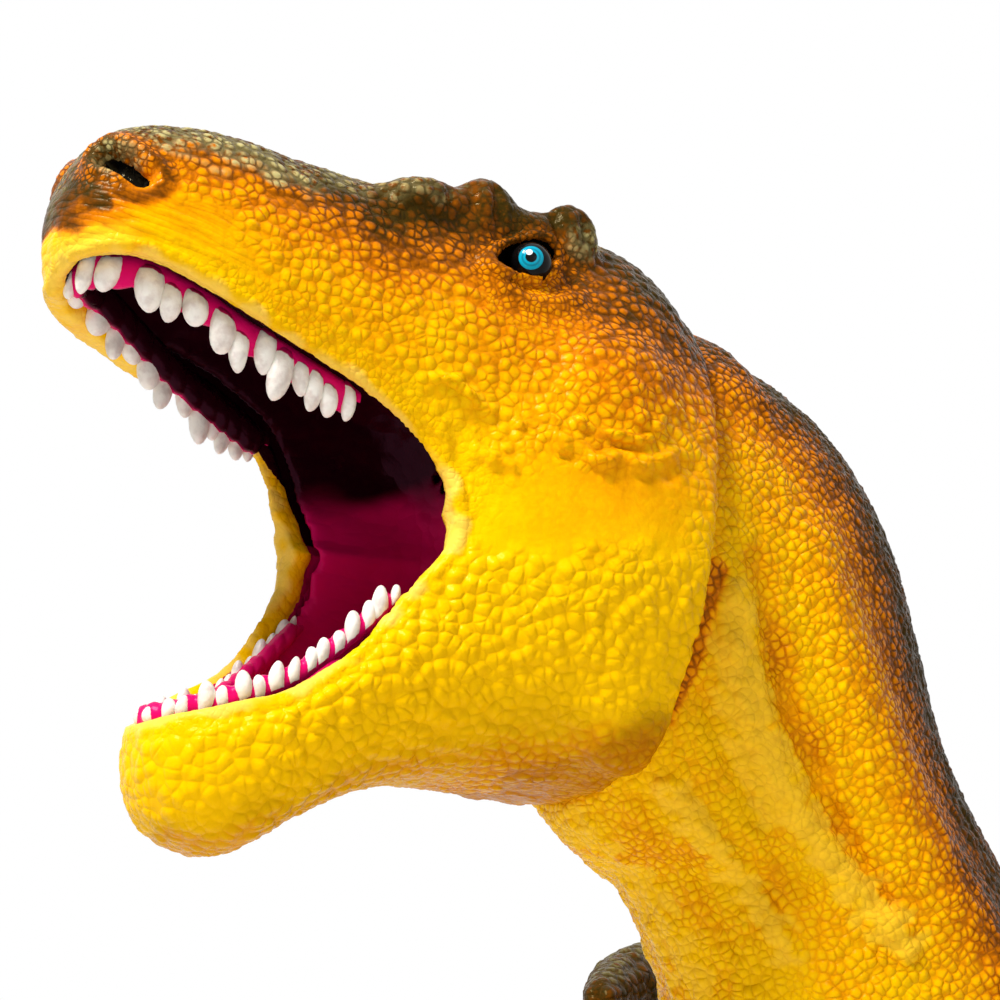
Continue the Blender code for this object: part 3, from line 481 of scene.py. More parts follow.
def raise_scales(obj, kinds):
    """Moves a skin's points out along their normals by the relief."""
    group = bpy.data.node_groups.new("raise_scales", "GeometryNodeTree")
    for way in ("INPUT", "OUTPUT"):
        group.interface.new_socket("Geometry", in_out=way, socket_type="NodeSocketGeometry")
    graph = Graph(group)
    came = graph.add("NodeGroupInput").outputs[0]
    normal = graph.add("GeometryNodeInputNormal").outputs[0]
    push = graph.vector("SCALE", normal, relief(graph, kinds)[0] * MM)
    move = graph.add("GeometryNodeSetPosition")
    graph.fill(move, {"Geometry": came, "Offset": push})
    graph.put(move.outputs[0], graph.add("NodeGroupOutput").inputs[0])
    obj.modifiers.new("raise", "NODES").node_group = group
    settle(obj)


def new_material(name):
    made = bpy.data.materials.new(name)
    made.use_nodes = True
    return made, Graph(made.node_tree), made.node_tree.nodes["Principled BSDF"]


def bump(graph, height, strength, shader):
    """A bump from a height in mm."""
    node = graph.add("ShaderNodeBump")
    graph.fill(node, {"Strength": strength, "Distance": MM, "Height": height})
    graph.put(node.outputs[0], shader.inputs["Normal"])


def vinyl(name, *kinds):
    """Airbrushed yellow below, orange on the sides and olive on the back, with its kinds of scales."""
    made, graph, shader = new_material(name)
    mask, ease_in = graph.mask, graph.ease
    height, groove, top = relief(graph, kinds)
    cloud = graph.noise(graph.place(), 9.0, 3.0)
    grit = graph.noise(graph.place(), 0.8, 2.0)
    shade = mask("shade") + (cloud - 0.5) * 0.26 + (grit - 0.5) * 0.20
    # Grooves painted darker and scale tops lighter on the sides: partly dry-brushed paint, partly painted
    # shade and painted highlight
    shade = shade + groove * ease_in(0.10, 0.50, mask("shade")) * 0.10
    on_sides = ease_in(0.20, 0.60, mask("shade")) * ease_in(1.06, 0.80, mask("shade"))
    shade = shade + (top * -1.0 + 0.35) * on_sides * 0.16
    ramp = graph.add("ShaderNodeValToRGB")
    graph.put(shade, ramp.inputs[0])
    while len(ramp.color_ramp.elements) < len(SHADES):
        ramp.color_ramp.elements.new(0.5)
    for element, (position, colour) in zip(ramp.color_ramp.elements, SHADES):
        element.position = position
        element.color = paint(colour)
    wash_colour = graph.tint(ease_in(0.40, 0.95, shade), GROOVE, DARK_GROOVE)
    dry = mask("dry") * (top * 0.75 + 0.25) * ease_in(0.42, 0.54, cloud * 0.55 + grit * 0.45)
    # Layers of paint over the airbrushed one, from the first to the last. The maroon of the gaps is a painted
    # shadow, and the rust-brown is partly paint and partly painted shade
    colour = ramp.outputs[0]
    for share, layer in (
        (groove * mask("wash"), wash_colour),
        (dry, PALE_OLIVE),
        (mask("brown_and_shadow"), RUST_BROWN_AND_SHADOW),
        (mask("lip"), CREAM),
        (ease_in(0.4, 0.6, mask("inside")), MAGENTA),
        (ease_in(0.4, 0.6, mask("gap_shadow")), SHADE_MAROON),
        (ease_in(0.45, 0.55, mask("black")), BLACK),
        (ease_in(0.45, 0.55, mask("claw")), CLAW),
    ):
        colour = graph.tint(share, colour, layer)
    roughness = cloud * 0.12 + 0.20
    for glossy, less in (("gloss", -0.10), ("inside", -0.08), ("black", -0.12)):
        roughness = roughness + mask(glossy) * less
    graph.fill(shader, {"Base Color": colour, "Roughness": roughness})
    graph.fill(shader, {"Specular IOR Level": 0.07, "Specular Tint": (1.0, 0.76, 0.28, 1)})
    bump(graph, height + grit * 0.10, 0.75, shader)
    return made, kinds


# Masks of the scales, then of the paint
ALL_MASKS = (*SCALE_KINDS, "fold")
ALL_MASKS += ("shade", "wash", "dry", "brown_and_shadow", "lip", "inside", "gap_shadow", "black", "claw", "gloss")


def dress(obj, node, body, masks, skin):
    """Stores a skin's masks, raises its scales and lets it stand for its node."""
    at = places(obj)
    store(obj, "grain", at)
    for name in ALL_MASKS:
        store(obj, name, np.clip(masks.get(name, 0) * np.ones(len(at)), 0, 1))
    material, kinds = skin
    raise_scales(obj, kinds)
    coat(obj, material)
    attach(obj, body)
    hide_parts(node)


HEAD_SKIN = vinyl("head_vinyl", "fine", "pebble", "bead", "fold")
BODY_SKIN = vinyl("body_vinyl", "neck_pebble", "large", "fold")
TAIL_SKIN = vinyl("tail_vinyl", "large")
LEG_SKIN = vinyl("leg_vinyl", "large")
ARM_SKIN = vinyl("arm_vinyl", "pebble")


# Sculpting


def push_out(obj, amount):
    """Moves every point along its normal by an amount in mm."""
    set_places(obj, places(obj) + normals(obj) * amount[:, None])


def mirrored(at):
    """Both sides of the figure as its left one."""
    folded = at.copy()
    folded[:, 1] = np.abs(folded[:, 1])
    return folded


def stroke(folded, line, width):
    """How strongly a stroke along a chain of places acts on each point."""
    return ease(width, 0, distance_to_line(folded, line))


def drawn(view, line, width):
    """How strongly a line in the view acts on each place."""
    return ease(width, 0.3 * width, distance_to_line(view, line))


# The photograph's view

# The back's outline
CREST = (
    (44, 300), (42, 250), (50, 200), (72, 163), (92, 145), (120, 131), (160, 126), (200, 131), (240, 141),
    (280, 153), (320, 167), (360, 184), (400, 183), (440, 185), (470, 180), (500, 188), (520, 212),
    (560, 205), (590, 215), (605, 245), (640, 271), (660, 294), (705, 340), (745, 365), (787, 400),
    (845, 460), (878, 520), (897, 580), (916, 640), (930, 700), (952, 760), (972, 820), (999, 880),
    (1040, 960), (1080, 1040),
)
# How wide the dark of the back reaches: across the view, and its width
CREST_REACH = (
    (40, 0.85), (110, 0.80), (160, 0.62), (240, 0.72), (300, 0.9), (360, 1.0), (450, 1.2), (540, 1.5),
    (600, 1.5), (650, 1.05), (720, 0.85), (760, 0.70), (880, 0.70), (1000, 0.85),
)
# Shade by the distance in from the outline
CREST_SHADES = (
    (0, 1.0), (10, 0.98), (20, 0.89), (32, 0.80), (50, 0.69), (72, 0.57), (100, 0.46), (140, 0.38),
    (190, 0.28), (260, 0.20),
)
# The muscle ridges and hollows of the neck: line, width, height in mm and how bare of scales, which also
# paints the ridges paler, partly as a painted highlight
NECK_FOLDS = (
    (
        ((736, 600), (738, 650), (750, 705), (773, 762), (800, 820), (832, 862), (862, 895), (905, 945)),
        24, 1.0, 0.8,
    ),
    (((722, 640), (728, 690), (746, 750), (770, 810)), 20, 0.3, 0.6),
    (((667, 785), (690, 817), (711, 845), (730, 870), (749, 893), (790, 960)), 18, 0.9, 0.75),
    (((574, 812), (610, 860), (642, 905), (665, 950), (690, 1000)), 16, 0.5, 0.6),
    (((757, 560), (772, 630), (787, 700), (812, 760), (842, 830), (885, 905)), 16, -0.9, 0.0),
    (((700, 690), (720, 745), (748, 800), (775, 850), (810, 900)), 14, -0.6, 0.0),
    (((640, 800), (668, 850), (700, 900), (730, 960)), 12, -0.5, 0.0),
)
# The hollow beside the long ridge, where the ridge's painted shadow goes
NECK_VALLEY_SHADOW = NECK_FOLDS[4][0]
NECK_VALLEY_SHADOW_WIDTH = 26
# The crease under the jowl and the jaw's lower edge, painted brown and rust-brown: partly paint and partly
# painted shadow
CREASE_BROWN_AND_SHADOW = ((714, 572), (702, 610), (688, 660), (662, 712), (620, 752), (560, 785))
CREASE_BROWN_AND_SHADOW_WIDTH = 24
JAW_EDGE_BROWN_AND_SHADOW = ((520, 785), (600, 770), (655, 735))
JAW_EDGE_BROWN_AND_SHADOW_WIDTH = 40


def direction(azimuth, elevation):
    """The way from the figure to a viewer, in world axes."""
    level = math.cos(elevation)
    return math.sin(azimuth) * level, -math.cos(azimuth) * level, math.sin(elevation)


def view_axes():
    """The camera's right and the way back to it, in world axes."""
    right = (math.cos(CAMERA_AZIMUTH), math.sin(CAMERA_AZIMUTH), 0)
    return right, direction(CAMERA_AZIMUTH, CAMERA_ELEVATION)


def seen(folded):
    """Where the photograph shows places of the left side."""
    right, back = (np.array(axis) for axis in view_axes())
    away = world_axes(folded) * MM - np.array(CAMERA_OFFSET)
    reach = CAMERA_LENS / SENSOR_WIDTH * VIEW_WIDTH / -(away @ back)
    middle = VIEW_WIDTH / 2
    return np.stack([middle + away @ right * reach, middle - away @ np.cross(back, right) * reach], axis=1)


def turned_to_view(facing, at):
    """1 where the left side's like of a surface faces the camera, 0 where it turns away."""
    x, y, z = view_axes()[1]
    side = np.where(at[:, 1] < 0, -1, 1)
    return ease(-0.10, 0.15, facing[:, 1] * side * x - facing[:, 0] * y + facing[:, 2] * z)


def crest_shade(view, wander):
    """How dark the back's paint is, and the distance in from the crest."""
    away = distance_to_line(view, CREST)
    reach = np.interp(view[:, 0], *zip(*CREST_REACH))
    depth = np.maximum(away / reach + 7 * wander, 0)
    return np.interp(depth, *zip(*CREST_SHADES)), away


# Head

EYE_CENTRE = np.array((26.6, 17.0, 34.5))
EYE_RADIUS = 2.95
EYE_SINK = 0.35
EYE_LIFT = 1.9
SLIT_LIFT = 2.7
SLIT_TILT = 0.28
SLIT_FRONT = 5.2
SLIT_BACK = 3.7
SLIT_HEIGHT = 2.8
# The ring of skin that gives a socket's level, and the socket's edge
SOCKET_RING = (5.0, 7.5)
SOCKET_EDGE = (5.3, 4.8)
HORNS = np.array(((33.5, 14.5, 47.0), (20.0, 16.0, 45.5)))
NOSTRIL = ((84.2, 6.6, 43.6), (82.4, 9.2, 41.9), (80.9, 11.0, 40.2))
BROW_GROOVES = (
    ((31.4, 15.5, 46.5), (31.2, 16.4, 41.5), (32.6, 17.2, 36.8)),
    ((34.8, 15.5, 46.5), (35, 16.2, 41), (36.2, 17, 36)),
    ((38.2, 15, 45), (38.6, 16.2, 41)),
    ((22.4, 16, 44), (21.2, 17, 38.5), (20.6, 18.5, 33.5)),
    ((18, 17, 44), (17.6, 18.5, 38), (18.6, 20.5, 32)),
)
BROW_GROOVE_WIDTH = 1.4
# Folds of the cheek: the chain of places, its width and its height
FACE_FOLDS = (
    (((42, 19, 17.5), (37, 20, 15.4), (32, 22, 12.6), (27.5, 23.6, 12.4)), 1.3, 0.6),
    (
        ((28, 23.4, 14), (25.5, 24.4, 10.4), (21.5, 25.6, 8), (16, 26.4, 7.6), (10.5, 26.6, 9.6)),
        1.7, 0.65,
    ),
    (((24.5, 24.4, 13.4), (21, 25.4, 11.2), (16.5, 26.2, 11.4), (12.5, 26.4, 13.4)), 1.3, 0.65),
    (((19.5, 25, 14.8), (15, 26, 14.4), (11, 26.2, 15.8), (8, 26, 16)), 1.1, 0.5),
    (((31, 22, 15.6), (28.6, 23, 12.2), (25, 24.2, 9)), 1.1, 0.5),
    (((26, 24, 8), (20, 26, 5.6), (13, 27, 6), (6.5, 27, 9)), 1.2, -0.4),
    (((26.6, 24, 11.8), (22.6, 25.2, 9.4), (18, 26, 9.4), (13, 26.4, 11.2)), 0.8, -0.5),
    (((39, 19, 12.4), (37.2, 19.6, 7.6), (33, 21.6, 6.4)), 1.3, 0.6),
    (((42.5, 17.5, 13.5), (41, 18.2, 9), (40.2, 18.8, 4), (40.4, 18.8, -1)), 1.3, 0.4),
)
EYE_BAG = ((32.5, 17.5, 32.4), (29, 18.6, 30.8), (24.5, 19.4, 30.6), (20.8, 19.4, 32.8))
EYE_BAG_WIDTH = 2.6
# Heights and depths in mm
LIP_ROUND = 0.25
LIP_CREASE = 0.22
NOSTRIL_DEPTH = 3.2
NOSTRIL_RIM = 0.8
LID_HEIGHT = 1.35
SLIT_DEPTH = 0.8
BROW_GROOVE_DEPTH = 0.95
FACE_FOLD_HEIGHT = 1.5
EYE_BAG_HEIGHT = 0.7
SNOUT_FILL = 0.8
OCCIPUT_FILL = 1.3
CHIN_TRIM = 1.2
WALL_SINK = 1.0
THROAT_TRIM = 2.7
NAPE_FILL = 1.5
# Lips moved: side, place in side view, radius, and the way moved forward and up in mm
LIP_MOVES = (
    (1, 84.0, 29.0, 16.0, 0.0, 0.9),
    (1, 41.0, 1.0, 13.0, -1.5, 0.2),
    (1, 57.5, -17.8, 19.0, -0.6, -3.8),
    (-1, 43.0, 0.0, 23.0, 5.6, 0.0),
    (-1, 76.0, 27.0, 18.0, 0.0, -3.8),
)


def almond(folded):
    """1 at the eye's middle, 0 on its lids' edge and less outside, tilted to the photograph."""
    f, _, u = (folded - EYE_CENTRE).T
    across = f * 0.96 + u * 0.05
    rise = (u - SLIT_LIFT) * 0.98 + f * SLIT_TILT
    reach = 1 - np.abs(across / np.where(across > 0, SLIT_FRONT, SLIT_BACK)) ** np.where(across > 0, 1.4, 2.0)
    return reach - np.abs(rise / SLIT_HEIGHT) ** 2


def lips_moved(at):
    """Places near the gape's edge moved by the lip moves."""
    f, l, u = at.T
    away = np.abs(lip_distance(at))
    moved = at.copy()
    for side, forward, up, radius, go_forward, go_up in LIP_MOVES:
        reach = math.hypot(go_forward, go_up)
        near = ease(radius, 0.2 * radius, np.hypot(f - forward, u - up)) * ease(0, 3, l * side)
        near = near * ease(max(7.5, 2.6 * reach), 0.5, away)
        moved[:, 0] += go_forward * near
        moved[:, 2] += go_up * near
    return moved


def close_sockets(obj):
    """Closes each eye's socket to the level of the skin around it, outside the slit."""
    at = places(obj)
    facing = normals(obj)
    outside = ease(0.02, -0.12, almond(mirrored(at)))
    for side in (1, -1):
        away = at - EYE_CENTRE * (1, side, 1)
        reach = span(away)
        ring = (reach > SOCKET_RING[0]) & (reach < SOCKET_RING[1])
        ring &= (away[:, 1] * side > -2) & (facing[:, 1] * side > 0.2)
        out = unit(facing[ring].mean(axis=0))
        across = unit(np.cross(out, (0, 0, 1)))
        x, y, height = away @ across, away @ np.cross(across, out), away @ out
        form = np.stack([np.ones(len(x)), x, y, x * x, x * y, y * y], axis=1)
        level = form @ np.linalg.lstsq(form[ring], height[ring], rcond=None)[0]
        at = at + out * (np.maximum(level - height, 0) * ease(*SOCKET_EDGE, reach) * outside)[:, None]
    set_places(obj, at)


def sculpt_head(obj, walls):
    close_sockets(obj)
    at = places(obj)
    folded = mirrored(at)
    f, _, u = folded.T
    facing = normals(obj)
    outer = ease(-0.1, 0.3, facing[:, 1] * np.sign(at[:, 1]) + np.maximum(facing[:, 2], 0) * 0.6)
    # Rounded lip with a crease above it
    away = lip_distance(at)
    amount = outer * LIP_ROUND * band(-0.6, 1.1, 0.5, away)
    amount -= outer * LIP_CREASE * band(1.6, 2.3, 0.6, away)
    # Nostril: a deep, slanting hollow with a raised rim
    nostril = distance_to_line(folded, NOSTRIL)
    amount -= NOSTRIL_DEPTH * ease(2.1, 0.6, nostril)
    amount += NOSTRIL_RIM * band(2.3, 3.3, 0.7, nostril) * ease(38.5, 42.5, u)
    # Lids round the slit, and a bag below the eye
    rim = almond(folded)
    near_eye = ease(11, 6, span(folded - EYE_CENTRE))
    amount += near_eye * LID_HEIGHT * band(-0.85, -0.12, 0.16, rim)
    amount -= near_eye * SLIT_DEPTH * ease(-0.05, 0.35, rim)
    amount += EYE_BAG_HEIGHT * stroke(folded, EYE_BAG, EYE_BAG_WIDTH)
    # Grooves down the brow between the horns and behind the eye, and the cheek's folds
    for line in BROW_GROOVES:
        amount -= BROW_GROOVE_DEPTH * stroke(folded, line, BROW_GROOVE_WIDTH)
    bent = folded + np.stack([ripple(folded, 6, 41 + k) for k in range(3)], axis=1) * 0.7
    uneven = 1 + 0.4 * ripple(folded, 5, 44)
    for line, width, height in FACE_FOLDS:
        amount += FACE_FOLD_HEIGHT * height * uneven * stroke(bent, line, width)
    # A fuller snout and back of the head, and a slimmer chin
    amount += SNOUT_FILL * band(62, 86, 5, f) * ease(0.2, 0.8, facing[:, 2])
    amount += OCCIPUT_FILL * band(2, 14, 5, f) * ease(24, 34, u)
    amount -= CHIN_TRIM * ease(62, 70, f) * ease(-20, -26, u) * np.abs(facing[:, 2])
    push_out(obj, amount * (1 - walls) - WALL_SINK * walls)
    set_places(obj, lips_moved(places(obj)))


def nearness(obj, *nodes):
    """Distance in mm from each of a skin's points to the nearest of some nodes."""
    best = np.full(len(obj.data.vertices), 1e9)
    for node in nodes:
        mesh = frame["nodes"][node].data
        tree = BVHTree.FromPolygons([v.co for v in mesh.vertices], [p.vertices[:] for p in mesh.polygons])
        away = np.array([tree.find_nearest(v.co)[3] for v in obj.data.vertices])
        best = np.minimum(best, away / MM)
    return best


def head_masks(obj):
    at = places(obj)
    folded = mirrored(at)
    f, _, u = folded.T
    facing = normals(obj)
    outward = facing[:, 1] * np.sign(at[:, 1])
    wander = ripple(at, 12, 3)
    small = ripple(at, 5, 4)
    away = lip_distance(at)
    eye_away = span(folded - EYE_CENTRE)
    nostril = distance_to_line(folded, NOSTRIL)
    on_right = ease(0, -3, at[:, 1])
    # The mouth's paint, and its own walls, which lie behind the lining
    far_rim = on_right * ease(18, 10, np.hypot(f - 44, u + 4))
    bare_lip = np.maximum(far_rim, on_right * np.maximum(ease(0, -6, u), ease(66, 72, f)))
    inside = ease(-0.1, -0.5, outward) * ease(86, 80, f)
    inside = inside * ease(0.3 + 3.0 * far_rim, 0.9 + 3.0 * far_rim, away)
    inside = inside * (1 - on_right * ease(72, 78, f) * ease(4.5, 3.5, away))
    walls = ease(1.0, 0.6, nearness(obj, "mouth_liner")) * ease(0.45, 0.25, outward) * ease(2, 3, away)
    inside = np.maximum(inside, walls)
    # Painted shadow: maroon on the skin next to the gums and up inside the mouth
    gap_shadow = ease(1.5, 0.9, nearness(obj, "upper_tooth_row", "lower_tooth_row")) * (1 - bare_lip)
    gap_shadow = np.maximum(gap_shadow, inside * ease(-1, 5, u + 2 * small))
    snout_lip = ease(80, 87, f) * ease(34, 29, u) * ease(20, 22, u)
    lip = np.maximum(0.36 * ease(1.0, 0.1, away + 0.9 * small), 0.22 * snout_lip)
    slit = ease(-0.12, 0.02, almond(folded)) * ease(8, 6.5, eye_away)
    # Black paint in the eye's slit and down the nostril; in the nostril's hole it is partly painted shade
    black = np.maximum(slit, ease(1.5, 1.0, nostril))
    # Scales
    patch = band(8, 37, 4, f + 1.5 * small) * band(-4, 7, 2.2, u + 1.2 * small + 0.08 * (f - 20))
    upper = ease(4, 12, u + wander * 2)
    lower = ease(3, -7, u + wander * 3)
    lip_free = ease(0.2, 1.4, away)
    fold = ease(64, 74, f + 3 * small) * band(30.0, 38.0, 1.5, u + small - (f - 78) * 0.15) * lip_free
    horns = np.maximum(*[ease(6.5, 3.5, span(folded - horn)) for horn in HORNS])
    scaly = (1 - 0.40 * horns) * (1 - black) * (1 - walls)
    near_corner = ease(11, 5, np.hypot(f - 42, u - 6))
    small_scaled = np.maximum.reduce([
        ease(12, 7.5, eye_away),
        ease(74, 80, f + 2 * small) * ease(36, 39, u),
        ease(5.0, 3.4, away) * upper,
        0.45 * near_corner + 0.6 * ease(3.0, 1.2, away),
    ])
    fine = (0.6 + 0.4 * lip_free) * np.minimum(small_scaled, 1) * (1 - fold) * scaly
    jowl = ease(24, 12, f + 3 * small) * lower * ease(-14, -24, u + 3 * small)
    rough = np.maximum(upper, (1 - upper) * (1 - lower)) * (1 - small_scaled) * (1 - 0.88 * patch)
    pebble = np.maximum(rough, 0.8 * jowl) * lip_free * (1 - fold) * scaly
    chin = ease(60, 68, f + 2 * wander)
    bead = lower * (1 - patch) * (1 - 0.8 * jowl) * lip_free * (1 - 0.35 * chin) * (1 - fine)
    # The back's dark paint in the view, with the snout's tip and the brow
    view = seen(folded)
    across, down = view.T
    shown = turned_to_view(facing, at)
    shade, depth = crest_shade(view, 0.6 * wander + 0.5 * small)
    shade = np.maximum(shade, 0.95 * (1 - shown) * ease(26, 40, u))
    shade = shade * (0.35 + 0.65 * ease(-22, 6, u + 3 * wander))
    snout_tip = ease(124, 98, across + 8 * small) * band(160, 216, 16, down + 8 * small)
    shade = np.maximum.reduce([
        shade,
        0.88 * snout_tip * ease(46, 62, across),
        0.46 * ease(-20, -31, u + 2 * wander) * ease(50, 25, f),
        0.86 * band(360, 500, 22, across) * ease(240, 205, down),
    ])
    shade = shade * (1 - ease(140, 110, across) * ease(226, 246, down + 6 * small))
    # Browner under the brow, in front of the eye: partly painted shade
    shade = shade + 0.14 * band(370, 480, 20, across) * band(200, 280, 20, down)
    # Brown and glossy rather than olive on the brow and in front of the nostril
    shade = np.maximum(shade, 0.93 * band(352, 498, 14, across) * ease(246, 214, down + 8 * small))
    brown = np.maximum(band(345, 505, 14, across), ease(112, 96, across) * ease(140, 155, down))
    shade = np.minimum(shade, 1 - 0.05 * brown * shown)
    # Painted shade below the jaw: faces turned downwards are painted browner
    below = ease(-0.30, -0.85, facing[:, 2] + 0.10 * wander) * ease(-8, -16, u) * ease(0, 1.5, away)
    shade = np.maximum(shade, 0.34 * below)
    # Rust-brown along the jaw's lower edge beside the crease: partly paint and partly painted shadow
    brown_and_shadow = 0.58 * drawn(view, JAW_EDGE_BROWN_AND_SHADOW, JAW_EDGE_BROWN_AND_SHADOW_WIDTH) * shown * ease(-14, -22, u)
    ring = band(2.4, 4.4, 0.6, nostril)
    dry = np.maximum.reduce([
        band(98, 318, 14, across) * ease(36, 22, depth + 9 * small),
        0.55 * band(318, 480, 14, across) * ease(18, 9, depth + 6 * small),
        0.8 * ease(26, 12, np.hypot(across - 586, down - 240)),
        0.5 * ease(100, 80, across) * ease(13, 6, depth),
    ])
    masks = {"walls": walls, "fold": fold, "fine": fine, "pebble": pebble, "bead": bead}
    masks |= {"lip": lip, "inside": inside, "gap_shadow": gap_shadow, "black": black, "dry": dry * (1 - ring)}
    masks["shade"] = 0.08 + 0.92 * (shade * (1 - ring) + ring * 0.78)
    masks["wash"] = 0.12 + 0.26 * ease(0.35, 0.75, shade) + 0.14 * lower
    masks["brown_and_shadow"] = np.maximum(brown_and_shadow, 0.36 * below)
    masks["gloss"] = np.maximum(ease(10, 5, np.hypot(f - 37, u - 41)), ease(5, 3, nostril))
    return masks


def make_head():
    head = melted("head_skin", "head_shell", HEAD_VOXEL, 10, [stopper("neck_turn", 4.2, 17, 5)])
    masks = head_masks(head)
    sculpt_head(head, masks["walls"])
    dress(head, "head_shell", "head", masks, HEAD_SKIN)


# Body, tail and limbs

REFINED_FROM = -58
# The tips of the toes on the left side, in mm from the neck
TOE_TIPS = ((-86.8, 26.0, -196.0), (-77.4, 45.8, -196.0), (-85.9, 63.8, -196.0), (-150.3, 38.6, -196.0))
CLAW_LENGTH = 8.5
FINGER_CLAW_LENGTH = 4.6
CLAW_EDGE = 0.8


def dorsal_shade(at, facing):
    """How far a place is turned to the animal's back, from 0 to 1."""
    nape = facing @ np.array((-0.75, 0, 0.66)) * ease(-120, -85, at[:, 0])
    return np.maximum(facing[:, 2], nape)


def body_masks(at, facing, view, shown):
    wander = ripple(at, 14, 11)
    small = ripple(at, 4, 12)
    dorsal = dorsal_shade(at, facing)
    neck = ease(-95, -60, at[:, 0] + 4 * wander)
    ragged = view + np.stack([small, -small], axis=1) * 9
    bare_and_highlit = [bareness_and_highlight * drawn(ragged, line, width) for line, width, _, bareness_and_highlight in NECK_FOLDS]
    bare_and_highlit = np.maximum.reduce(bare_and_highlit) * shown
    shade = 0.84 * ease(-0.45, 0.95, dorsal + 0.12 * wander) + 0.16 * ease(0.80, 0.97, dorsal)
    side_shade, _ = crest_shade(view, 0.7 * wander + 0.6 * small)
    side_shade = np.maximum(side_shade, 0.37 + 0.10 * wander)
    # Painted shadow in the hollow on the ridge's shaded side
    side_shade = side_shade + 0.14 * drawn(view, NECK_VALLEY_SHADOW, NECK_VALLEY_SHADOW_WIDTH)
    # The crease under the jowl painted brown: partly paint and partly painted shadow
    side_shade = np.maximum(side_shade, 0.74 * drawn(view, CREASE_BROWN_AND_SHADOW, CREASE_BROWN_AND_SHADOW_WIDTH))
    shade = shade * (1 - shown) + side_shade * shown
    return {
        "neck_pebble": neck * (1 - 0.45 * bare_and_highlit),
        "large": 1 - neck,
        "fold": 0.6 * bare_and_highlit,
        # Paler and creamier on the ridges: partly a painted highlight
        "shade": shade * (1 - 0.70 * bare_and_highlit),
        "lip": 0.12 * bare_and_highlit,
        "wash": 0.16 + 0.26 * ease(0.35, 0.75, shade) + 0.40 * shown * (1 - 0.5 * bare_and_highlit),
        "dry": 0.25 * ease(0.6, 0.9, dorsal) * (1 - shown),
    }


def make_body():
    stoppers = [stopper("neck_turn", -1.8, 16, 3), stopper("tail_turn", -1.8, 13, 3)]
    for side, sign in (("left", 1), ("right", -1)):
        out = Vector((sign, 0, 0))
        stoppers.append(stopper("hip_" + side, -1.6, 9, 2.6, out))
        stoppers.append(stopper("shoulder_" + side, -1.6, 5, 2.6, out))
    body = melted("body_skin", "body_shell", BODY_VOXEL, 4, stoppers)
    refine(body, places(body)[:, 0] > REFINED_FROM)
    smooth(body, 6)
    at = places(body)
    f, _, u = at.T
    facing = normals(body)
    # Where the photograph shows the neck's places, and how far each belongs to its side there
    view = seen(mirrored(at))
    shown = turned_to_view(facing, at) * ease(1090, 1000, view[:, 1]) * ease(-70, -45, f)
    lumpy = 1 + 0.4 * ripple(at, 5, 13)
    amount = sum(height * lumpy * shown * drawn(view, line, width) for line, width, height, _ in NECK_FOLDS)
    # A slimmer throat and a fuller nape
    amount -= THROAT_TRIM * ease(-38, -46, u) * ease(-24, -10, f) * ease(0.1, 0.6, facing[:, 0])
    amount += NAPE_FILL * band(-12, 3, 4, f) * ease(17, 24, u)
    push_out(body, amount)
    dress(body, "body_shell", "torso", body_masks(at, facing, view, shown), BODY_SKIN)


def make_tail():
    tail = melted("tail_skin", "tail_shell", TAIL_VOXEL, 6, [stopper("tail_turn", 4.5, 13, 6)])
    at = places(tail)
    up = normals(tail)[:, 2]
    # The bend that shows behind the throat is dark all over
    across, down = seen(at).T
    bend = ease(720, 665, across) * ease(900, 935, down)
    shade = np.maximum(ease(-0.75, 0.5, up + 0.2 * ripple(at, 16, 31)) * 1.05, bend)
    masks = {"shade": shade, "large": 1, "wash": 0.65, "dry": 0.3 * ease(0.4, 0.9, up)}
    dress(tail, "tail_shell", "tail", masks, TAIL_SKIN)


def limb_masks(obj, claw, scales, share=1):
    """A limb's masks: its claws, and one kind of scales on a share of the rest."""
    at = places(obj)
    facing = normals(obj)
    dorsal = facing[:, 2] * 0.5 + np.abs(facing[:, 1]) * 0.35 - facing[:, 0] * 0.3
    shade = 0.25 + 0.55 * ease(-0.2, 0.9, dorsal + 0.15 * ripple(at, 14, 21))
    return {"shade": shade, "wash": 0.6, "claw": claw, "gloss": claw, scales: 0.9 * share * (1 - claw)}


def make_limbs():
    for side in ("left", "right"):
        leg = melted(f"leg_{side}_skin", f"leg_{side}", LEG_VOXEL, 5)
        # The foot's lowest points are pressed onto the ground
        co = corners(leg)
        co[:, 2] = np.maximum(co[:, 2], 0)
        set_corners(leg, co)
        at = mirrored(places(leg))
        toe_away = np.min([span(at - np.array(tip)) for tip in TOE_TIPS], axis=0)
        claw = ease(CLAW_LENGTH, CLAW_LENGTH - CLAW_EDGE, toe_away)
        off_ground = ease(0.6, 1.6, at[:, 2] - at[:, 2].min())
        dress(leg, f"leg_{side}", f"{side}_leg", limb_masks(leg, claw, "large", off_ground), LEG_SKIN)
        arm = melted(f"arm_{side}_skin", f"arm_{side}", ARM_VOXEL, 4)
        f, _, u = mirrored(places(arm)).T
        tip = np.argmax(f)
        claw = ease(FINGER_CLAW_LENGTH, FINGER_CLAW_LENGTH - CLAW_EDGE, np.hypot(f - f[tip], u - u[tip]))
        dress(arm, f"arm_{side}", f"{side}_arm", limb_masks(arm, claw, "pebble"), ARM_SKIN)


# Mouth

# Half widths of the palate's and the floor's hollow, by forward place
PALATE = (
    (21.6, 7.3), (31.5, 16.8), (39.6, 17.2), (50.4, 15.5), (61.2, 14.1), (71.1, 12.3), (79.2, 9.8),
    (83.2, 7.0), (85.3, 3.4),
)
FLOOR = (
    (25.6, 13.4), (31.5, 16.8), (39.6, 16.5), (50.4, 14.3), (58.5, 12.0), (64.8, 10.4), (69.8, 7.6),
    (73.2, 3.6),
)
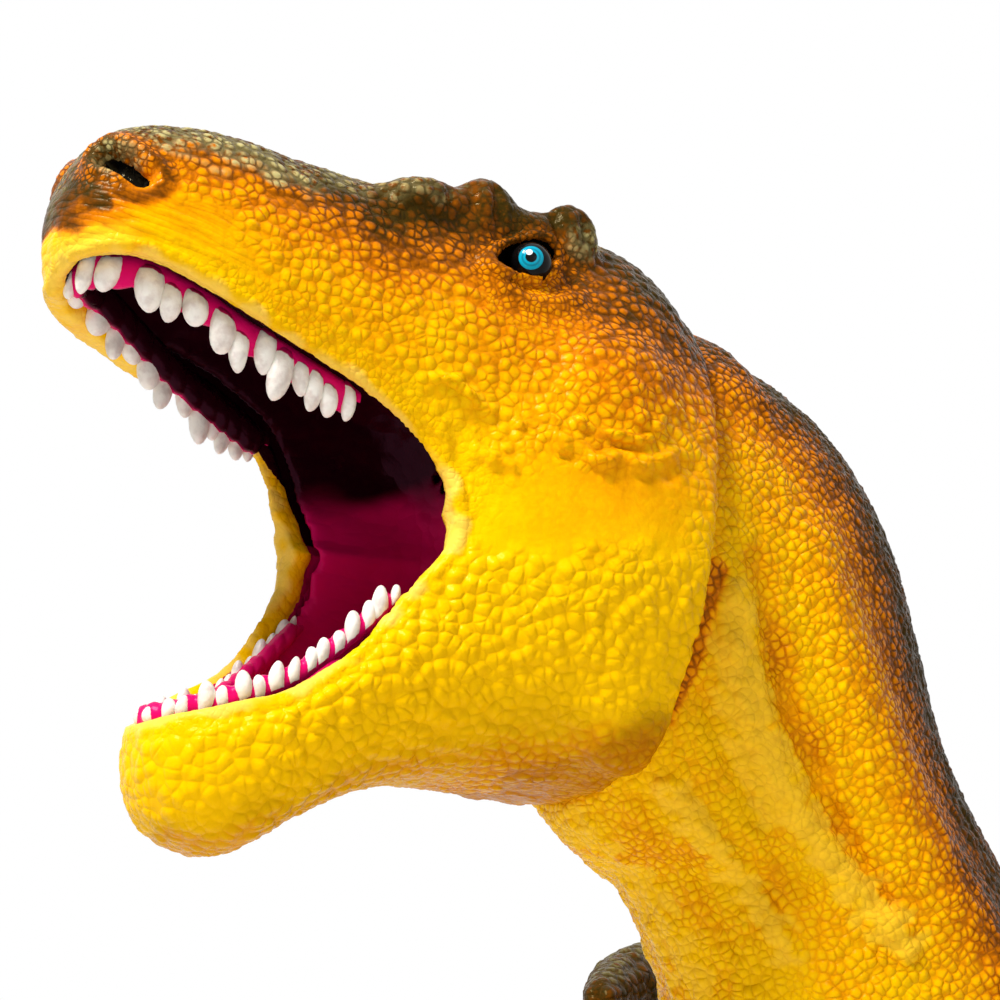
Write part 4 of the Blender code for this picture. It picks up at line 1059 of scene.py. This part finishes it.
# Teeth of one half jaw from the front: place along the gum, width, length and how far below the lip
UPPER_TEETH = (
    (2.0, 2.7, 6.0, -1.4), (5.4, 3.5, 5.0, -0.5), (10.1, 4.0, 5.8, 0.0), (13.6, 3.0, 5.4, 0.8),
    (16.6, 3.8, 5.0, 0.1), (20.8, 3.9, 5.6, 0.2), (23.6, 2.9, 5.2, 1.2), (27.0, 3.1, 6.4, -1.0),
    (29.8, 3.4, 7.2, 0.0), (32.3, 2.6, 4.8, 0.3), (34.4, 2.6, 6.0, 0.0), (36.8, 2.6, 4.7, 0.7),
    (39.3, 2.1, 4.9, -0.8),
)
LOWER_TEETH = (
    (1.3, 1.9, 2.6, -0.6), (3.4, 2.1, 3.5, -0.7), (5.8, 2.0, 3.0, -0.8), (8.2, 2.4, 4.3, -0.9),
    (10.4, 1.9, 3.4, -0.8), (12.7, 2.3, 4.5, -0.7), (15.0, 1.9, 3.4, -0.8), (17.3, 2.4, 4.2, -0.9),
    (19.7, 2.0, 3.5, -0.8), (21.9, 2.1, 3.3, -0.7), (24.1, 2.3, 3.8, -0.7), (26.4, 2.1, 3.4, -0.8),
    (29.0, 2.7, 3.9, -0.8), (31.5, 2.4, 3.6, -0.8), (34.0, 2.9, 4.1, -0.8), (36.6, 1.8, 2.6, -0.7),
)
# A tooth from its root to its tip: share of the length, width and depth as shares
TOOTH_PROFILE = (
    (0, 0.50, 0.30), (0.04, 0.66, 0.55), (0.14, 0.86, 0.78), (0.28, 0.97, 0.92), (0.45, 1.0, 1.0),
    (0.62, 0.96, 0.98), (0.78, 0.82, 0.84), (0.90, 0.58, 0.62), (0.97, 0.32, 0.36), (1.0, 0.10, 0.12),
)
TOOTH_FLATNESS = 0.80
TOOTH_SIDES = 16
TOOTH_OUT = 0.62
GUM_STEPS = 220
GUM_SIDES = 18
GUM_LIFT = 1.6
# How far the lower gum sags below the lip line, by forward place
LOWER_SAG = ((41, 46, 52, 57, 62, 68, 73), (0.0, 1.5, 3.0, 3.6, 2.9, 1.4, 0.3))
# Jaws: name, hollow, teeth, the gum's back, front and inset, its depth, and the teeth's lean and way
JAWS = (
    ("upper", PALATE, UPPER_TEETH, 50.6, 83.6, 2.3, 4.9, 0.18, -1),
    ("lower", FLOOR, LOWER_TEETH, 44.6, 72.6, 1.8, 3.4, 0.10, 1),
)


def mouth_material():
    """Glossy magenta paint, with painted shade that darkens it to maroon down the throat."""
    made, graph, shader = new_material("mouth_paint")
    place = graph.place()
    cloud = graph.noise(place, 5.0, 3.0)
    deep = graph.mask("deep") + (cloud - 0.5) * 0.25
    colour = graph.tint(graph.ease(0.1, 0.9, deep), THROAT, SHADE_MAROON)
    graph.fill(shader, {"Base Color": colour, "Roughness": cloud * 0.14 + 0.18})
    graph.fill(shader, {"Specular IOR Level": 0.14, "Specular Tint": (1.0, 0.30, 0.52, 1)})
    ridges = graph.cells(graph.warped(place, *MOUTH_WARP), (3.2, 1.3, 2.4), "F1")
    bump(graph, ridges * -0.30 + graph.noise(place, 0.8) * 0.06, 0.7, shader)
    return made


def tooth_material():
    """Off-white paint, with the gum's colour smeared in at the roots."""
    made, graph, shader = new_material("tooth_paint")
    place = graph.place()
    cloud = graph.noise(place, 1.6, 3.0)
    colour = graph.tint(graph.ease(0.40, 0.75, cloud), BONE, WORN_BONE)
    smear = graph.ease(0.34, 0.0, graph.mask("tip")) + cloud * 0.8
    colour = graph.tint(graph.ease(0.92, 1.02, smear), colour, MAGENTA)
    graph.fill(shader, {"Base Color": colour, "Roughness": cloud * 0.2 + 0.24})
    graph.fill(shader, {"Subsurface Weight": 0.05, "Subsurface Scale": MM})
    bump(graph, cloud * 0.22 + graph.noise(place, 0.5) * 0.05, 0.8, shader)
    return made


def plug_material():
    """Dark plastic with a fine grain."""
    made, graph, shader = new_material("plug_plastic")
    grain = graph.add("ShaderNodeTexCoord").outputs["Object"]
    cloud = graph.noise(grain, 4 * MM)
    colour = graph.tint(cloud, PLUG_BLACK, PLUG_GREY)
    graph.fill(shader, {"Base Color": colour, "Roughness": cloud * 0.16 + 0.42})
    bump(graph, graph.noise(grain, 0.4 * MM) * 0.02, 0.6, shader)
    return made


MOUTH = mouth_material()


def make_liner():
    liner = melted("mouth_lining", "mouth_liner", LINER_VOXEL, 3)
    at = places(liner)
    store(liner, "grain", at)
    # Painted shade: the lining darkens to maroon higher up and towards the throat
    edge = at[:, 2] + 2.5 * ripple(at, 12, 51) + 0.15 * (at[:, 0] - 40)
    deep = np.maximum(ease(2, 13, edge), 0.2 * ease(22, 14, at[:, 0]))
    set_places(liner, lips_moved(at))
    store(liner, "deep", np.clip(deep, 0, 1))
    coat(liner, MOUTH)
    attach(liner, "head")
    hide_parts("mouth_liner")


def jaw_path(hollow, back, front, inset):
    """A gum's middle line at lip height, from the front's middle back along the left side."""
    upper = hollow is PALATE
    rows = np.array(LIP_LINE)[UPPER_LIP if upper else LOWER_LIP]
    rows = rows[np.argsort(rows[:, 0])]
    swing = np.linspace(0, math.pi / 2, GUM_STEPS)
    forward = back + (front - back) * np.cos(swing) ** 0.85
    across = (np.interp(forward, *zip(*hollow)) - inset) * np.sin(swing) ** 0.35
    up = np.interp(forward, rows[:, 0], rows[:, 1])
    up = up + GUM_LIFT * ease(64, 80, forward) if upper else up - np.interp(forward, *LOWER_SAG)
    path = np.stack([forward, across, up], axis=1)
    return path, np.concatenate([[0], np.cumsum(span(np.diff(path, axis=0)))])


def on_path(path, travelled, reach):
    """The place at a distance along a gum, the way on from there and the level way out of the mouth."""
    behind, at, ahead = (
        np.array([np.interp(reach + step, travelled, path[:, k]) for k in range(3)])
        for step in (-0.8, 0, 0.8)
    )
    along = unit(ahead - behind)
    return at, along, unit(np.cross(along, (0, 0, 1.0)))


def loft(made, rings, side):
    """Joins rings of places into a closed tube on one side of the head."""
    loops = []
    for ring in rings:
        loops.append([made.verts.new(NECK + Vector((l * side, -f, u)) * MM) for f, l, u in ring])
    count = len(loops[0])
    for near, far in zip(loops, loops[1:]):
        for k in range(count):
            after = (k + 1) % count
            made.faces.new((near[k], near[after], far[after], far[k]))
    made.faces.new(loops[0])
    made.faces.new(loops[-1])


def finished(name, made, material, node):
    """Turns a head piece's mesh into an object that stands for its node."""
    bmesh.ops.recalc_face_normals(made, faces=made.faces)
    obj = built(name, made)
    coat(obj, material)
    store(obj, "grain", places(obj))
    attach(obj, "head")
    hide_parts(node)
    return obj


def make_gum(name, node, path, travelled, teeth, away, depth):
    """A rounded band under the lip that swells round each tooth."""
    count = len(travelled)
    reach = np.linspace(0, travelled[-1], count)
    swell = np.zeros(count)
    for place, width, _, _ in teeth:
        swell = np.maximum(swell, np.exp(-(((reach - place) / (0.62 * width)) ** 2)))
    turns = np.linspace(0, TURN, GUM_SIDES, endpoint=False)
    wide = np.copysign(np.abs(np.cos(turns)) ** 0.8, np.cos(turns))
    down = np.array((0, 0, -away))
    half = []
    for distance, swollen in zip(reach, swell):
        at, _, out = on_path(path, travelled, distance)
        end = ease(0, 3.5, travelled[-1] - distance)
        deep = depth * (0.80 + 0.20 * swollen) * (0.35 + 0.65 * end)
        thick = (1.15 + 0.30 * swollen) * (0.4 + 0.6 * end)
        middle = at - down * (deep / 2 - 0.9)
        half.append(middle + np.outer(wide, out) * thick + np.outer(np.sin(turns), down) * deep / 2)
    # One tube from the right end through the front to the left end, with painted shade on its inner side
    rings = [ring * (1, -1, 1) for ring in half[:0:-1]] + half
    made = bmesh.new()
    loft(made, rings, 1)
    obj = finished(name, made, MOUTH, node)
    store(obj, "deep", np.tile(ease(0.2, -0.5, wide), len(rings)) * (0.95 if away < 0 else 0.3))


def make_teeth(name, node, path, travelled, teeth, lean, material):
    """Blunt, uneven teeth, painted up onto the gum."""
    made = bmesh.new()
    chance = np.random.default_rng(len(teeth))
    turns = np.linspace(0, TURN, TOOTH_SIDES, endpoint=False)
    tips = []
    for side in (1, -1):
        for place, width, length, below in teeth:
            shift, grow, bend, swing = chance.uniform(-1, 1, 4)
            at, along, out = on_path(path, travelled, place + 0.25 * shift)
            down = unit(np.array(lean) + along * 0.10 * swing)
            length = length * (1 + 0.08 * grow)
            root = at + down * below + out * TOOTH_OUT
            rings = []
            for share, wide, deep in TOOTH_PROFILE:
                bulge = math.sin(math.pi * share)
                middle = root + down * share * length + along * bend * 0.30 * bulge + out * 0.25 * bulge
                across = np.outer(np.cos(turns), along) * wide * width / 2
                outward = np.outer(np.sin(turns), out) * deep * width / 2 * TOOTH_FLATNESS
                rings.append(middle + across + outward)
                tips += [share] * TOOTH_SIDES
            loft(made, rings, side)
    obj = finished(name, made, material, node)
    store(obj, "tip", np.array(tips))


def make_teeth_and_gums(material):
    for name, hollow, teeth, back, front, inset, depth, lean, way in JAWS:
        path, travelled = jaw_path(hollow, back, front, inset)
        node = f"{name}_tooth_row"
        make_gum(f"{name}_gum", node, path, travelled, teeth, way, depth)
        make_teeth(f"{name}_teeth", node, path, travelled, teeth, (lean, 0, way), material)


# Eyes

GAZE = Vector((0.50, 0.83, 0.02)).normalized()
PAINTED_GLINT = Vector((0.54, 0.74, 0.24)).normalized()


def eye_material():
    """A turquoise ring on glossy black, by the angle from where the eye looks, with a painted highlight."""
    made, graph, shader = new_material("eye_paint")
    turn = graph.mask("gaze")
    ring = graph.ease(0.25, 0.285, turn) * graph.ease(0.62, 0.58, turn)
    inner = graph.ease(0.35, 0.38, turn) * graph.ease(0.47, 0.44, turn)
    colour = graph.tint(ring, BLACK, IRIS)
    colour = graph.tint(inner * 0.45, colour, IRIS_RING)
    # Painted highlight: a white glint on the eye
    colour = graph.tint(graph.ease(0.17, 0.14, graph.mask("painted_glint")), colour, PAINTED_GLINT_WHITE)
    graph.fill(shader, {"Base Color": colour, "Roughness": 0.10, "Specular IOR Level": 0.12})
    return made


def make_eyes(material):
    for name, side in (("left", 1), ("right", -1)):
        low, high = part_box("eye_" + name)
        centre = (low + high) / 2 + Vector((-side * EYE_SINK, 0, EYE_LIFT)) * MM
        radius = EYE_RADIUS * MM
        made = bmesh.new()
        place = Matrix.Translation(centre)
        bmesh.ops.create_uvsphere(made, u_segments=72, v_segments=48, radius=radius, matrix=place)
        eye = built("eyeball_" + name, made)
        away = own_axes((corners(eye) - np.array(centre)) / radius) * (1, side, 1)
        for mask, way in (("gaze", GAZE), ("painted_glint", PAINTED_GLINT)):
            store(eye, mask, np.arccos(np.clip(away @ np.array(way), -1, 1)))
        coat(eye, material)
        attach(eye, "head")
        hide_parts("eye_" + name)


# Stage

# Azimuth and elevation in degrees, distance and size in metres, power in watts
LAMPS = {
    "key": (15, 50, 0.9, 0.26, 12.6),
    "fill": (95, 5, 1.0, 0.8, 1.6),
    "rim": (200, 40, 1.0, 0.6, 0.5),
}
WORLD_LIGHT = 0.24
FLOOR_HALF = 1.2
FLOOR_DROP = 0.0002
# Where the floor starts to be plain white and where it is all white, in metres
WHITE_FROM = 0.16
WHITE_AT = 0.42


def add_camera():
    data = bpy.data.cameras.new("camera")
    data.lens = CAMERA_LENS
    data.sensor_width = SENSOR_WIDTH
    data.clip_start = 0.01
    camera = added("camera", data)
    right, back = (Vector(axis) for axis in view_axes())
    turn = Matrix((right, back.cross(right), back)).transposed().to_4x4()
    camera.matrix_world = Matrix.Translation(NECK + CAMERA_OFFSET) @ turn
    bpy.context.scene.camera = camera


def add_lamp(name, azimuth, elevation, distance, size, power):
    """A soft square lamp that faces the head."""
    data = bpy.data.lights.new(name, "AREA")
    data.energy = power
    data.size = size
    lamp = added(name, data)
    lamp.location = NECK + Vector(direction(math.radians(azimuth), math.radians(elevation))) * distance
    lamp.rotation_euler = (NECK - lamp.location).to_track_quat("-Z", "Y").to_euler()


def white_for_sight(graph, seen, plain, share=1.0):
    """Mixes in a share of plain white where a ray is seen directly, in gloss or through glass."""
    path = graph.add("ShaderNodeLightPath").outputs
    sight = graph.calc("MAXIMUM", path["Is Camera Ray"], path["Is Glossy Ray"])
    sight = graph.calc("MAXIMUM", sight, path["Is Transmission Ray"]) * share
    mix = graph.add("ShaderNodeMixShader")
    graph.fill(mix, {0: sight, 1: plain, 2: seen})
    return mix.outputs[0]


def add_world():
    made = bpy.data.worlds.new("studio")
    made.use_nodes = True
    bpy.context.scene.world = made
    graph = Graph(made.node_tree)
    plain = made.node_tree.nodes["Background"]
    graph.fill(plain, {"Color": WHITE, "Strength": WORLD_LIGHT})
    seen = graph.add("ShaderNodeBackground")
    graph.fill(seen, {"Color": WHITE, "Strength": 1})
    mixed = white_for_sight(graph, seen.outputs[0], plain.outputs[0])
    graph.put(mixed, made.node_tree.nodes["World Output"].inputs["Surface"])


def add_floor():
    made = bmesh.new()
    bmesh.ops.create_grid(made, x_segments=8, y_segments=8, size=FLOOR_HALF)
    floor = built("floor", made)
    floor.location.z = -FLOOR_DROP
    material, graph, shader = new_material("floor_paper")
    spot = graph.add("ShaderNodeTexCoord").outputs["Object"]
    colour = graph.tint(graph.noise(spot, 10 * MM, 3.0), PAPER, PALE_PAPER)
    graph.fill(shader, {"Base Color": colour, "Roughness": 0.9})
    # White from a little way off, so that only the shadow shows
    reach = graph.add("ShaderNodeVectorMath", operation="LENGTH")
    graph.put(spot, reach.inputs[0])
    glow = graph.add("ShaderNodeEmission")
    glow.inputs["Strength"].default_value = 1
    share = graph.ease(WHITE_FROM, WHITE_AT, reach.outputs["Value"])
    shown = white_for_sight(graph, glow.outputs[0], shader.outputs[0], share)
    graph.put(shown, material.node_tree.nodes["Material Output"].inputs["Surface"])
    coat(floor, material, smooth_faces=False)


bpy.context.scene.view_settings.view_transform = "Standard"
add_camera()
add_world()
add_floor()
for lamp_name, lamp in LAMPS.items():
    add_lamp(lamp_name, *lamp)

make_head()
make_liner()
make_body()
make_tail()
make_limbs()
make_eyes(eye_material())
make_teeth_and_gums(tooth_material())
tongue = frame["nodes"]["tongue"]
coat(tongue, MOUTH, smooth_faces=False)
store(tongue, "grain", places(tongue))
plug_plastic = plug_material()
for node_name, node in frame["nodes"].items():
    if node_name.endswith("plug") or "_plug_" in node_name:
        coat(node, plug_plastic, smooth_faces=False)
